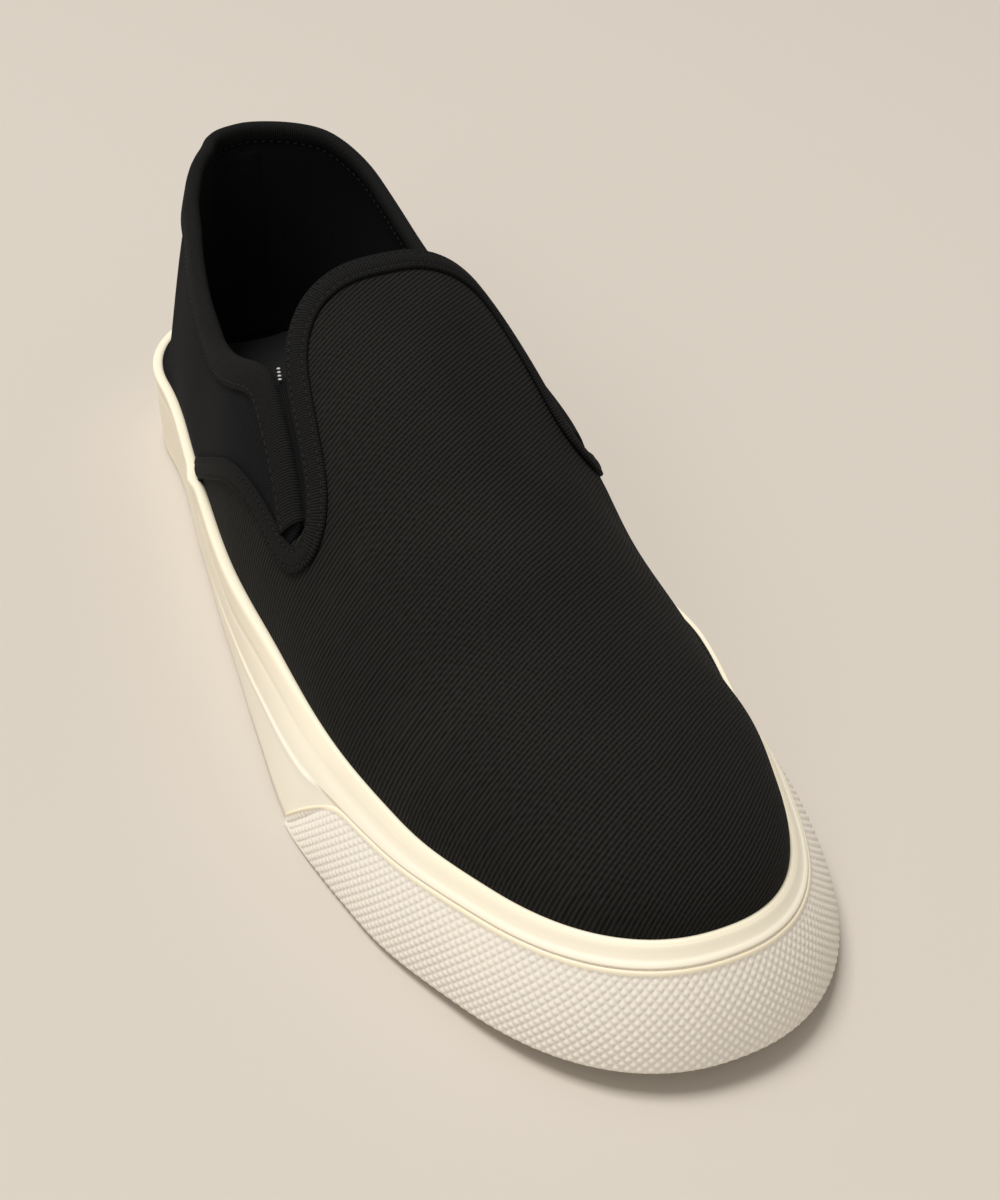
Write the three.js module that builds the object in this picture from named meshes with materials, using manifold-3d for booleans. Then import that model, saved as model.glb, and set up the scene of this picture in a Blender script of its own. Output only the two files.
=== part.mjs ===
// A slip-on canvas shoe with a wrapped rubber sole, the right one of a pair. Millimetres, +Z up, toe towards +X.
// The outer side of the foot is -Y. The shoe stands on z = 0, with its origin midway along and across its outline.
import * as THREE from 'three';
import { mergeVertices } from 'three/addons/utils/BufferGeometryUtils.js';
import Module from 'manifold-3d';

const wasm = await Module();
wasm.setup();

// Overall sizes
const LENGTH = 298;
const BALL_WIDTH = 108;
const INSTEP_HEIGHT = 97;
const COLLAR_HEIGHT = 82.5;
const FOXING_HEEL = 27;
const FOXING_TOE = 25;
const TOE_SPRING = 7;
const SPRING_START = 0.72;
const ARCH_RISE = 1.2;
const SOLE_HEEL = 14;
const SOLE_TOE = 11;

// Thicknesses and clearances
const GAP = 0.3;
const WALL = 1.8;
const INSOLE = 4;
const FOXING_LIP = 2.6;
const FOXING_WRAP = 3.2;
const TUCK = 1.5;
const LEDGE = 0.2;
const FLOOR_CLEARANCE = 0.5;

// The strip round the toe: its thickness, the share of the length where it starts on each side, and the share
// that its rounded ends take
const BUMPER = 2;
const BUMPER_LATERAL = 0.655;
const BUMPER_MEDIAL = 0.607;
const BUMPER_RISE = 0.055;
const BUMPER_BULGE = 0.2;
const BUMPER_SEAT = 0.4;

// The rubber side: the step at the top of its front strip, the groove under its rim, and the rounding of its edges
const STEP = 0.7;
const STEP_START = 0.3;
const STEP_FULL = 0.45;
const RIM_GROOVE = 0.5;
const RIM_ROLL = 0.25;
const EDGE_ROUND = 0.8;
const SIDE_CURVE = 1.3;
const STRIP_FOOT = 0.04;
const LINE_HALF = 0.02;
const GROOVE_HALF = 0.05;

// Tape sewn round the edges, and the elastic set in each side
const COLLAR_TAPE = 6;
const TAPE_INSIDE = 3.5;
const VAMP_TAPE = 5.2;
const TAPE_THICK = 1;
const TAPE_SLACK = 0.9;
const TAPE_END_LATERAL = 0.53;
const TAPE_END_MEDIAL = 0.497;
const GORE_THICK = 1;
const GORE_DEPTH = 0.6;
const GORE_REACH = 0.86;
const GORE_STEPS = 9;
const GORE_BESIDE_TAPE = 1.75;
const GORE_BESIDE_VAMP = 0.45;

// Grooves across the underside
const GROOVE_WIDTH = 2;
const GROOVE_DEPTH = 1.4;
const GROOVE_PITCH = 9;
const GROOVE_EDGE = 0.0004;
const HEEL_GROOVES = [0.07, 0.28];
const FRONT_GROOVES = [0.52, 0.93];

// The arch of the sole: where it rises from the floor and where it is back on it, as shares of the length
const ARCH_BACK = [0.3, 0.38];
const ARCH_FRONT = [0.42, 0.5];

// How the long outline closes at each end: the share of the length it takes, and the power of its curve
const HEEL_CLOSE = 0.13;
const HEEL_POWER = 2.15;
const TOE_CLOSE = 0.2;
const TOE_POWER = 2.2;

// Places along one side, and places up one rib
const COLUMNS = 40;
const RIB_ROWS = 12;
const FOOT_ROWS = 2;
const TOP_ROW = 0.985;

// The outline on the floor. Share of the length; half width and bend as shares of the ball's width; how far the
// rubber side leans in by its top edge at the outer and inner side, as shares of the toe's lean.
const TOE_LEAN = 10.5;
const PLAN = [
  // share, half, bend, leanLateral, leanMedial
  [0.00, 0.336, 0.004, 0.46, 0.46],
  [0.14, 0.332, 0.004, 0.16, 0.08],
  [0.30, 0.347, -0.032, 0.19, -0.19],
  [0.44, 0.375, -0.056, 0.29, -0.38],
  [0.56, 0.435, -0.035, 0.62, 0.00],
  [0.68, 0.498, 0.005, 0.90, 0.57],
  [0.78, 0.472, 0.019, 0.95, 0.86],
  [0.88, 0.417, 0.033, 0.95, 1.00],
  [1.00, 0.389, 0.042, 1.00, 1.00],
];

// Lines along the rubber side, as shares of its height: the top of the front strip, and the groove under the rim
const LINES = [
  // share, strip, groove
  [0.00, 0.10, 0.86],
  [0.25, 0.12, 0.78],
  [0.36, 0.20, 0.66],
  [0.45, 0.33, 0.65],
  [0.52, 0.43, 0.74],
  [0.60, 0.51, 0.80],
  [0.68, 0.60, 0.83],
  [0.76, 0.70, 0.85],
  [0.84, 0.78, 0.88],
  [1.00, 0.80, 0.90],
];

// The ribs of the upper. Share of the length of a rib's foot and of its crown; how far the crown line lies from
// the middle, as a share of the ball's width; the power of the rib's curve at the outer and inner side.
const RIBS = [
  // foot, crown, bend, powerLateral, powerMedial
  [0.00, 0.058, 0.022, 1.70, 1.70],
  [0.03, 0.075, 0.026, 1.30, 1.78],
  [0.08, 0.105, 0.020, 1.27, 1.90],
  [0.14, 0.150, 0.018, 1.43, 1.98],
  [0.22, 0.220, 0.018, 1.80, 2.20],
  [0.30, 0.300, 0.020, 2.05, 2.45],
  [0.44, 0.440, 0.009, 2.35, 2.30],
  [0.56, 0.560, 0.000, 2.10, 1.60],
  [0.70, 0.700, 0.009, 1.85, 1.45],
  [0.85, 0.810, 0.028, 2.00, 1.85],
  [1.00, 0.895, 0.039, 2.20, 2.20],
];

// The crown line's height along the shoe, as a share of the instep height. Behind the instep it isn't cloth: it
// only shapes the walls of the quarters.
const CROWN = [
  // share, height
  [0.00, 1.361],
  [0.15, 1.258],
  [0.30, 1.124],
  [0.41, 1.000],
  [0.50, 0.896],
  [0.60, 0.770],
  [0.70, 0.655],
  [0.80, 0.565],
  [0.88, 0.515],
  [0.94, 0.475],
  [1.00, 0.440],
];

// The collar's height round the heel, as a share of the height at the back
const COLLAR = [
  // share, lateral, medial
  [0.00, 1.000, 1.000],
  [0.05, 0.994, 0.988],
  [0.10, 0.960, 0.930],
  [0.16, 0.925, 0.860],
  [0.22, 0.895, 0.805],
  [0.28, 0.868, 0.780],
  [0.34, 0.852, 0.800],
];

// The edge of the opening in front of that: along the quarter, down its front, up the vamp and over the instep.
// Share of the length, and place across from 1 at the rubber to 0 on the crown line.
const EDGE_LATERAL = [
  // share, across
  [0.373, 0.612],
  [0.404, 0.562],
  [0.428, 0.510],
  [0.443, 0.487],
  [0.456, 0.483],
  [0.468, 0.490],
  [0.484, 0.505],
  [0.503, 0.527],
  [0.522, 0.555],
  [0.538, 0.583],
  [0.549, 0.606],
  [0.557, 0.613],
  [0.564, 0.602],
  [0.565, 0.578],
  [0.556, 0.545],
  [0.540, 0.510],
  [0.515, 0.472],
  [0.490, 0.438],
  [0.467, 0.405],
  [0.451, 0.375],
  [0.437, 0.330],
  [0.426, 0.280],
  [0.419, 0.210],
  [0.415, 0.110],
];
const EDGE_MEDIAL = [
  // share, across
  [0.362, 0.655],
  [0.380, 0.630],
  [0.394, 0.618],
  [0.408, 0.620],
  [0.424, 0.628],
  [0.445, 0.638],
  [0.468, 0.645],
  [0.490, 0.645],
  [0.508, 0.641],
  [0.520, 0.632],
  [0.527, 0.616],
  [0.527, 0.597],
  [0.519, 0.580],
  [0.505, 0.566],
  [0.482, 0.552],
  [0.458, 0.535],
  [0.438, 0.510],
  [0.426, 0.475],
  [0.418, 0.420],
  [0.414, 0.340],
  [0.413, 0.230],
  [0.413, 0.110],
];

// Where each gore's top edge starts: the share on the quarter's front, and the place across on the vamp's edge
const GORE_TOP_LATERAL = [0.462, 0.38];
const GORE_TOP_MEDIAL = [0.416, 0.48];

// Where the opening's edge and the middle of the vamp's tape cross the crown line, as shares of the length
const EDGE_INSTEP = 0.414;
const TAPE_INSTEP = 0.424;

// The middle of the tape on the vamp: from the rubber over the side seam, round its turn and up to the instep
const SEAM_LATERAL = [
  // share, across
  [0.311, 0.972],
  [0.333, 0.945],
  [0.365, 0.905],
  [0.405, 0.845],
  [0.440, 0.785],
  [0.470, 0.748],
  [0.500, 0.728],
  [0.528, 0.722],
  [0.550, 0.717],
  [0.566, 0.695],
  [0.575, 0.655],
  [0.577, 0.605],
  [0.571, 0.545],
  [0.556, 0.495],
  [0.532, 0.455],
  [0.505, 0.418],
  [0.481, 0.386],
  [0.461, 0.352],
  [0.446, 0.308],
  [0.435, 0.255],
  [0.428, 0.190],
  [0.424, 0.100],
];
const SEAM_MEDIAL = [
  // share, across
  [0.307, 0.980],
  [0.322, 0.958],
  [0.348, 0.922],
  [0.378, 0.893],
  [0.410, 0.870],
  [0.443, 0.850],
  [0.474, 0.828],
  [0.502, 0.800],
  [0.523, 0.755],
  [0.537, 0.700],
  [0.542, 0.640],
  [0.537, 0.580],
  [0.523, 0.545],
  [0.500, 0.525],
  [0.475, 0.507],
  [0.453, 0.480],
  [0.438, 0.445],
  [0.428, 0.390],
  [0.424, 0.310],
  [0.423, 0.210],
  [0.423, 0.100],
];

// A smooth curve through one column of a table, flat where the column turns
function follow(table, column, share) {
  const last = table.length - 1;
  let row = 0;
  while (row < last - 1 && share > table[row + 1][0]) row += 1;
  const slope = (i) => (table[i + 1][column] - table[i][column]) / (table[i + 1][0] - table[i][0]);
  const tangent = (i) => {
    if (i === 0) return slope(0);
    if (i === last) return slope(last - 1);
    const before = slope(i - 1);
    const after = slope(i);
    return before * after <= 0 ? 0 : (2 * before * after) / (before + after);
  };
  const width = table[row + 1][0] - table[row][0];
  const t = THREE.MathUtils.clamp((share - table[row][0]) / width, 0, 1);
  const t2 = t * t;
  const t3 = t2 * t;
  return (2 * t3 - 3 * t2 + 1) * table[row][column] + (t3 - 2 * t2 + t) * width * tangent(row)
    + (3 * t2 - 2 * t3) * table[row + 1][column] + (t3 - t2) * width * tangent(row + 1);
}

// Heights along the shoe
const shareOf = (column) => 0.5 - 0.5 * Math.cos(column);
const columnOf = (share) => Math.acos(THREE.MathUtils.clamp(1 - 2 * share, -1, 1));
const along = (share) => (share - 0.5) * LENGTH;
const springAt = (share) => TOE_SPRING * Math.max(0, (share - SPRING_START) / (1 - SPRING_START)) ** 2;
const foxingTop = (share) => THREE.MathUtils.lerp(FOXING_HEEL, FOXING_TOE, share) + springAt(share);
const soleTop = (share) => THREE.MathUtils.lerp(SOLE_HEEL, SOLE_TOE, share) + springAt(share);
const insideSide = (side, lateral, medial) => (side < 0 ? lateral : medial);

// The outline on the floor at a column, from 0 at the heel to pi at the toe, on the side -1 or 1
function outline(column, side) {
  const folded = column < 0 || column > Math.PI;
  const angle = folded ? (column < 0 ? -column : 2 * Math.PI - column) : column;
  const s = shareOf(angle);
  const heel = Math.max(0, (HEEL_CLOSE - s) / HEEL_CLOSE);
  const toe = Math.max(0, (s - 1 + TOE_CLOSE) / TOE_CLOSE);
  const close = (1 - heel ** HEEL_POWER) ** (1 / HEEL_POWER) * (1 - toe ** TOE_POWER) ** (1 / TOE_POWER);
  const half = follow(PLAN, 1, s) * BALL_WIDTH * close;
  return new THREE.Vector2(along(s), follow(PLAN, 2, s) * BALL_WIDTH + (folded ? -side : side) * half);
}

// The same outline drawn in by a distance
const PLAN_STEP = 0.01;
function inset(column, side, distance) {
  const travel = outline(column + PLAN_STEP, side).sub(outline(column - PLAN_STEP, side)).normalize();
  return outline(column, side).add(new THREE.Vector2(travel.y, -travel.x).multiplyScalar(side * distance));
}

// How far each wall lies inside the outline: the rubber's top edge, the bumper's seat, the sole and the upper's foot
const leanAt = (column, side) => TOE_LEAN * follow(PLAN, insideSide(side, 3, 4), shareOf(column));
const stepAt = (share) => STEP * THREE.MathUtils.smoothstep(share, STEP_START, STEP_FULL);
const bumperStart = (side) => insideSide(side, BUMPER_LATERAL, BUMPER_MEDIAL);
function seatDepth(column, side) {
  const s = shareOf(column);
  const start = bumperStart(side);
  const bumper = (BUMPER + BUMPER_SEAT) * THREE.MathUtils.smoothstep(s, start - BUMPER_RISE, start);
  return stepAt(s) + bumper;
}
const soleInset = (column, side) => FOXING_WRAP + seatDepth(column, side) + GAP;
const featherInset = (column, side) => Math.max(leanAt(column, side) + TUCK, soleInset(column, side) + LEDGE);

// A point of the upper's outer face. Level runs from -1 at its foot through 0 at the rubber's top to 1 at the crown.
function skin(column, side, level) {
  let angle = column;
  let hand = side;
  let up = level;
  if (up > 1) {
    up = 2 - up;
    hand = -hand;
  }
  if (angle < 0 || angle > Math.PI) {
    angle = angle < 0 ? -angle : 2 * Math.PI - angle;
    hand = -hand;
  }
  const s = shareOf(angle);
  const lean = leanAt(angle, hand);
  if (up < 0) {
    const drawn = THREE.MathUtils.lerp(lean, featherInset(angle, hand), (-up) ** 1.5);
    const foot = inset(angle, hand, drawn);
    return new THREE.Vector3(foot.x, foot.y, THREE.MathUtils.lerp(foxingTop(s), soleTop(s) + GAP, -up));
  }
  const base = inset(angle, hand, lean);
  const crown = new THREE.Vector2(along(follow(RIBS, 1, s)), follow(RIBS, 2, s) * BALL_WIDTH);
  const power = 2 / follow(RIBS, insideSide(hand, 3, 4), s);
  const turn = (up * Math.PI) / 2;
  const out = Math.max(0, Math.cos(turn)) ** power;
  const rise = Math.sin(turn) ** power;
  const place = crown.clone().lerp(base, out);
  const top = follow(CROWN, 1, place.x / LENGTH + 0.5) * INSTEP_HEIGHT;
  return new THREE.Vector3(place.x, place.y, foxingTop(s) + (top - foxingTop(s)) * rise);
}

// The way out of that face
const SKIN_STEP = 0.004;
const END_MARGIN = 0.06;
const CROWN_ZONE = 0.97;
function facing(column, side, level) {
  const angle = THREE.MathUtils.clamp(column, -Math.PI, 2 * Math.PI);
  const nearCrown = Math.min(level, 1 - SKIN_STEP);
  const settled = level > CROWN_ZONE ? THREE.MathUtils.clamp(angle, END_MARGIN, Math.PI - END_MARGIN) : angle;
  const ahead = skin(settled + SKIN_STEP, side, nearCrown).sub(skin(settled - SKIN_STEP, side, nearCrown));
  const upward = skin(settled, side, nearCrown + SKIN_STEP).sub(skin(settled, side, nearCrown - SKIN_STEP));
  const out = ahead.cross(upward).multiplyScalar(-side).normalize();
  if (level > 1 - SKIN_STEP) out.setY(0).normalize();
  return out;
}
const lifted = (column, side, level, offset) =>
  skin(column, side, level).addScaledVector(facing(column, side, level), offset);

// The same point from a share of the length and a place across, below 0 for the outer side
const onUpper = (share, across, offset) =>
  lifted(columnOf(share), across < 0 ? -1 : 1, 1 - Math.abs(across), offset);
const outOfUpper = (share, across) => facing(columnOf(share), across < 0 ? -1 : 1, 1 - Math.abs(across));

// Where the collar's height falls on a rib
function levelAt(column, side, height) {
  let low = 0;
  let high = 1;
  for (let i = 0; i < 30; i += 1) {
    const middle = (low + high) / 2;
    if (skin(column, side, middle).z < height) low = middle;
    else high = middle;
  }
  return (low + high) / 2;
}

// Meshes from rows of points
function geometryOf(points, faces) {
  const positions = new Float32Array(points.flatMap((p) => [p.x, p.y, p.z]));
  const geometry = new THREE.BufferGeometry();
  geometry.setAttribute('position', new THREE.BufferAttribute(positions, 3));
  geometry.setIndex(faces.flat());
  return geometry;
}

function solidOf(geometry) {
  const clean = geometry.clone();
  clean.deleteAttribute('normal');
  clean.deleteAttribute('uv');
  const merged = mergeVertices(clean, 1e-4);
  const mesh = new wasm.Mesh({
    numProp: 3,
    vertProperties: new Float32Array(merged.attributes.position.array),
    triVerts: new Uint32Array(merged.index.array),
  });
  return new wasm.Manifold(mesh);
}

function geometryFrom(solid) {
  const mesh = solid.getMesh();
  const geometry = new THREE.BufferGeometry();
  geometry.setAttribute('position', new THREE.BufferAttribute(new Float32Array(mesh.vertProperties), 3));
  geometry.setIndex(new THREE.BufferAttribute(new Uint32Array(mesh.triVerts), 1));
  return geometry;
}

// A body lofted through closed sections of equal count; a ring of sections closes on itself, others get end caps
function loft(sections, ring = false) {
  const count = sections[0].length;
  const points = sections.flat();
  const faces = [];
  const turns = ring ? sections.length : sections.length - 1;
  for (let i = 0; i < turns; i += 1) {
    const here = i * count;
    const next = ((i + 1) % sections.length) * count;
    for (let j = 0; j < count; j += 1) {
      const k = (j + 1) % count;
      faces.push([here + j, next + j, next + k], [here + j, next + k, here + k]);
    }
  }
  if (!ring) {
    faces.push(...cap(sections[0], 0, false));
    faces.push(...cap(sections[sections.length - 1], (sections.length - 1) * count, true));
  }
  return outward(geometryOf(points, faces));
}

// The flat end of a loft, worked out in the plane of its section
function cap(section, start, flip) {
  const normal = new THREE.Vector3();
  section.forEach((p, i) => normal.add(p.clone().cross(section[(i + 1) % section.length])));
  normal.normalize();
  const across = section[1].clone().sub(section[0]).projectOnPlane(normal).normalize();
  const upward = normal.clone().cross(across);
  const flat = section.map((p) => new THREE.Vector2(p.dot(across), p.dot(upward)));
  const corners = THREE.ShapeUtils.triangulateShape(flat, []);
  return corners.map(([a, b, c]) => (flip ? [start + a, start + c, start + b] : [start + a, start + b, start + c]));
}

// Turns a closed body's faces outward if its volume comes out negative
function outward(geometry) {
  const p = geometry.attributes.position;
  const index = geometry.index.array;
  const corners = [new THREE.Vector3(), new THREE.Vector3(), new THREE.Vector3()];
  let volume = 0;
  for (let i = 0; i < index.length; i += 3) {
    corners.forEach((corner, k) => corner.fromBufferAttribute(p, index[i + k]));
    volume += corners[0].dot(corners[1].clone().cross(corners[2]));
  }
  if (volume < 0) {
    for (let i = 0; i < index.length; i += 3) {
      [index[i + 1], index[i + 2]] = [index[i + 2], index[i + 1]];
    }
  }
  return geometry;
}

// Every column once round the shoe: the outer side from heel to toe, then the inner side back
const COLUMN_STEP = Math.PI / COLUMNS;
const ROUND = [];
for (let i = 0; i < COLUMNS; i += 1) ROUND.push([i * COLUMN_STEP, -1]);
for (let i = COLUMNS; i > 0; i -= 1) ROUND.push([i * COLUMN_STEP, 1]);

// A closed form between the upper's face, moved by an offset, and a flat bottom under its foot
function lastForm(offset, drop) {
  const points = [];
  const faces = [];
  const levels = [];
  for (let j = 0; j < FOOT_ROWS; j += 1) levels.push(-1 + j / FOOT_ROWS);
  for (let j = 0; j < RIB_ROWS; j += 1) levels.push(Math.sin((j / RIB_ROWS) * (Math.PI / 2)) * TOP_ROW);
  const rows = levels.length;
  ROUND.forEach(([column, side]) => levels.forEach((level, j) => {
    const p = lifted(column, side, level, offset);
    if (j === 0) p.z -= drop;
    points.push(p);
  }));
  const crown = points.length;
  for (let i = 0; i <= COLUMNS; i += 1) points.push(lifted(i * COLUMN_STEP, -1, 1, offset));
  const crownOf = (i) => crown + (i <= COLUMNS ? i : 2 * COLUMNS - i);
  const around = ROUND.length;
  for (let i = 0; i < around; i += 1) {
    const here = i * rows;
    const next = ((i + 1) % around) * rows;
    for (let j = 0; j < rows - 1; j += 1) {
      faces.push([here + j, next + j, next + j + 1], [here + j, next + j + 1, here + j + 1]);
    }
    faces.push([here + rows - 1, next + rows - 1, crownOf(i + 1)]);
    faces.push([here + rows - 1, crownOf(i + 1), crownOf(i)]);
  }
  for (let i = 0; i < COLUMNS; i += 1) {
    const outer = [i * rows, (i + 1) * rows];
    const inner = [((around - i) % around) * rows, (around - i - 1) * rows];
    faces.push([outer[0], inner[1], outer[1]], [outer[0], inner[0], inner[1]]);
  }
  const kept = faces.filter(([a, b, c]) => a !== b && b !== c && a !== c);
  return outward(geometryOf(points, kept));
}

// Points of a smooth line through a table on one side, from share and place across
const GIRTH = 62;
function smoothLine(rows, spacing) {
  const knots = rows.map(([s, u]) => new THREE.Vector3(s * LENGTH, u * GIRTH, 0));
  const curve = new THREE.CatmullRomCurve3(knots, false, 'centripetal');
  const steps = Math.max(2, Math.round(curve.getLength() / spacing));
  return curve.getSpacedPoints(steps).map((p) => [p.x / LENGTH, p.y / GIRTH]);
}

// The edge of the opening, once round: a list of surface places with a way out of the face
const EDGE_SPACING = 3.5;
const COLLAR_STEPS = 16;
function collarPlaces() {
  const joint = COLLAR[COLLAR.length - 1][0];
  const places = [];
  for (let i = -COLLAR_STEPS; i <= COLLAR_STEPS; i += 1) {
    const column = (Math.abs(i) / COLLAR_STEPS) * columnOf(joint);
    const side = i < 0 ? -1 : 1;
    const height = COLLAR_HEIGHT * follow(COLLAR, insideSide(side, 1, 2), shareOf(column));
    places.push([shareOf(column), side * (1 - levelAt(column, side, height))]);
  }
  return places;
}

function openingPlaces() {
  const collar = collarPlaces();
  const lateral = [collar[0], ...EDGE_LATERAL.map(([s, u]) => [s, -u])];
  const medial = [collar[collar.length - 1], ...EDGE_MEDIAL];
  const front = smoothLine([...lateral, [EDGE_INSTEP, 0], ...medial.slice(1).reverse(), medial[0]], EDGE_SPACING);
  return { collar, front };
}
const OPENING = openingPlaces();

// A form that takes the opening out of the upper: a band through the wall, closed by a point
// far above it and one inside
const CUT_REACH = 6;
const CUT_ABOVE = [0.2, 15];
const CUT_INSIDE = [0.3, 0.5];
function openingForm() {
  const places = [...OPENING.collar, ...OPENING.front.slice(1, -1).reverse()];
  const outer = places.map(([s, u]) => onUpper(s, u, CUT_REACH));
  const inner = places.map(([s, u]) => onUpper(s, u, -CUT_REACH));
  const count = places.length;
  const points = [...outer, ...inner];
  [CUT_ABOVE, CUT_INSIDE].forEach(([s, height]) => {
    points.push(new THREE.Vector3(along(s), 0, height * INSTEP_HEIGHT));
  });
  const faces = [];
  for (let i = 0; i < count; i += 1) {
    const k = (i + 1) % count;
    faces.push([i, k, count + k], [i, count + k, count + i]);
    faces.push([i, 2 * count, k]);
    faces.push([count + i, count + k, 2 * count + 1]);
  }
  return outward(geometryOf(points, faces));
}

function upperGeometry() {
  const shell = solidOf(lastForm(0, 0)).subtract(solidOf(lastForm(-WALL, 2 * WALL)));
  return geometryFrom(shell.subtract(solidOf(openingForm())));
}

// A ribbon along places on the upper; its section is given across the ribbon and out of the face
function ribbon(places, section) {
  const middles = places.map(([s, u]) => onUpper(s, u, 0));
  const sections = places.map(([s, u], i) => {
    const before = middles[Math.max(0, i - 1)];
    const after = middles[Math.min(middles.length - 1, i + 1)];
    const ahead = after.clone().sub(before).normalize();
    const out = outOfUpper(s, u);
    const across = out.clone().cross(ahead).normalize();
    return section.map(([w, h]) => middles[i].clone().addScaledVector(across, w).addScaledVector(out, h));
  });
  return loft(sections);
}

// Tape folded over the cut edge of the collar and of the quarters' fronts
function collarTapeGeometry() {
  const low = GAP;
  const high = GAP + TAPE_THICK;
  const inside = -WALL - TAPE_SLACK;
  const section = [
    [COLLAR_TAPE, low],
    [-low, low],
    [-low, inside],
    [TAPE_INSIDE, inside],
    [TAPE_INSIDE, inside - TAPE_THICK],
    [-high, inside - TAPE_THICK],
    [-high, high],
    [COLLAR_TAPE, high],
  ];
  const places = OPENING.front;
  const lateralEnd = places.findIndex(([s, u]) => u < 0 && s > TAPE_END_LATERAL);
  const medialEnd = places.length - 1 - [...places].reverse().findIndex(([s, u]) => u > 0 && s > TAPE_END_MEDIAL);
  const lateral = places.slice(1, lateralEnd + 1).reverse();
  const medial = places.slice(medialEnd, -1).reverse();
  return ribbon([...lateral, ...OPENING.collar, ...medial], section);
}

// Flat tape on the vamp's edge and the side seams, in one run from rubber to rubber
function vampTapeGeometry() {
  const half = VAMP_TAPE / 2;
  const section = [[half, GAP], [half, GAP + TAPE_THICK], [-half, GAP + TAPE_THICK], [-half, GAP]];
  const lateral = SEAM_LATERAL.map(([s, u]) => [s, -u]);
  const line = smoothLine([...lateral, [TAPE_INSTEP, 0], ...[...SEAM_MEDIAL].reverse()], EDGE_SPACING);
  return ribbon(line, section);
}

// A sheet on the upper between two lists of places, from one offset to another
function sheet(left, right, across, low, high) {
  const sections = left.map((from, i) => {
    const to = right[i];
    const row = [];
    for (let j = 0; j <= across; j += 1) {
      const t = j / across;
      row.push([THREE.MathUtils.lerp(from[0], to[0], t), THREE.MathUtils.lerp(from[1], to[1], t)]);
    }
    const top = row.map(([s, u]) => onUpper(s, u, high));
    const bottom = row.map(([s, u]) => onUpper(s, u, low)).reverse();
    return [...top, ...bottom];
  });
  return loft(sections);
}

// The elastic in the slot between a quarter's front and the vamp, clear of both edges
function goreGeometry(side) {
  const places = OPENING.front.filter(([, u]) => Math.sign(u) === side);
  const list = side < 0 ? places : [...places].reverse();
  const deepest = list.reduce((best, [s], i) => (s > list[best][0] ? i : best), 0);
  const [quarterTop, vampTop] = insideSide(side, GORE_TOP_LATERAL, GORE_TOP_MEDIAL);
  const quarter = list.slice(0, deepest + 1).filter(([s]) => s > quarterTop);
  const vamp = list.slice(deepest).filter(([, u]) => Math.abs(u) > vampTop).reverse();
  const pick = (line, t) => {
    const at = t * (line.length - 1);
    const i = Math.min(line.length - 2, Math.floor(at));
    return line[i].map((value, k) => THREE.MathUtils.lerp(value, line[i + 1][k], at - i));
  };
  const left = [];
  const right = [];
  for (let i = 0; i <= GORE_STEPS; i += 1) {
    const t = (i / GORE_STEPS) * GORE_REACH;
    const a = pick(quarter, t);
    const b = pick(vamp, t);
    const width = onUpper(...a, 0).distanceTo(onUpper(...b, 0));
    const between = (share) => [THREE.MathUtils.lerp(a[0], b[0], share), THREE.MathUtils.lerp(a[1], b[1], share)];
    left.push(between(GORE_BESIDE_TAPE / width));
    right.push(between(1 - GORE_BESIDE_VAMP / width));
  }
  return sheet(left, right, 2, -GORE_DEPTH - GORE_THICK, -GORE_DEPTH);
}

// How far the rubber's outer face lies inside the outline, at a share of its height and above its front strip
function rubberInset(column, side, height) {
  return THREE.MathUtils.lerp(seatDepth(column, side), leanAt(column, side) - FOXING_LIP, height ** SIDE_CURVE);
}

const rubberPoint = (column, side, distance, z) => {
  const p = inset(column, side, distance);
  return new THREE.Vector3(p.x, p.y, z);
};

// The height of the rubber's bottom edge and of a share of its height, at a share of the length
const rubberHeight = (share, height) => THREE.MathUtils.lerp(springAt(share), foxingTop(share), height);

// The wrapped rubber side: its front strip, the band above it, the groove and the rim, closed round the sole and
// the upper's foot
function foxingGeometry() {
  const sections = ROUND.map(([column, side]) => {
    const s = shareOf(column);
    const strip = follow(LINES, 1, s);
    const groove = follow(LINES, 2, s);
    const outer = (height, deeper) =>
      rubberPoint(column, side, rubberInset(column, side, height) + deeper, rubberHeight(s, height));
    const inner = (level) => lifted(column, side, level, GAP);
    const bottom = springAt(s) + FLOOR_CLEARANCE;
    const wrapped = soleInset(column, side) - GAP;
    const section = [
      rubberPoint(column, side, rubberInset(column, side, 0) - stepAt(s) + EDGE_ROUND, bottom),
      outer(STRIP_FOOT, -stepAt(s)),
      outer(strip / 2, -stepAt(s)),
      outer(strip - LINE_HALF, -stepAt(s)),
      outer(strip + LINE_HALF, 0),
      outer(groove - GROOVE_HALF, 0),
      outer(groove, RIM_GROOVE),
      outer(groove + GROOVE_HALF, -RIM_ROLL),
      rubberPoint(column, side, leanAt(column, side) - FOXING_LIP + EDGE_ROUND, foxingTop(s)),
      inner(0),
    ];
    for (let j = 1; j <= FOOT_ROWS; j += 1) section.push(inner(-j / FOOT_ROWS));
    section.push(rubberPoint(column, side, wrapped, soleTop(s) + GAP));
    section.push(rubberPoint(column, side, wrapped, bottom));
    return section;
  });
  return loft(sections.reverse(), true);
}

// A point on the flat facet between the two nearest columns
function betweenColumns(column, pointAt) {
  const i = Math.min(COLUMNS - 1, Math.floor(column / COLUMN_STEP));
  return pointAt(i * COLUMN_STEP).lerp(pointAt((i + 1) * COLUMN_STEP), column / COLUMN_STEP - i);
}

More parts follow.
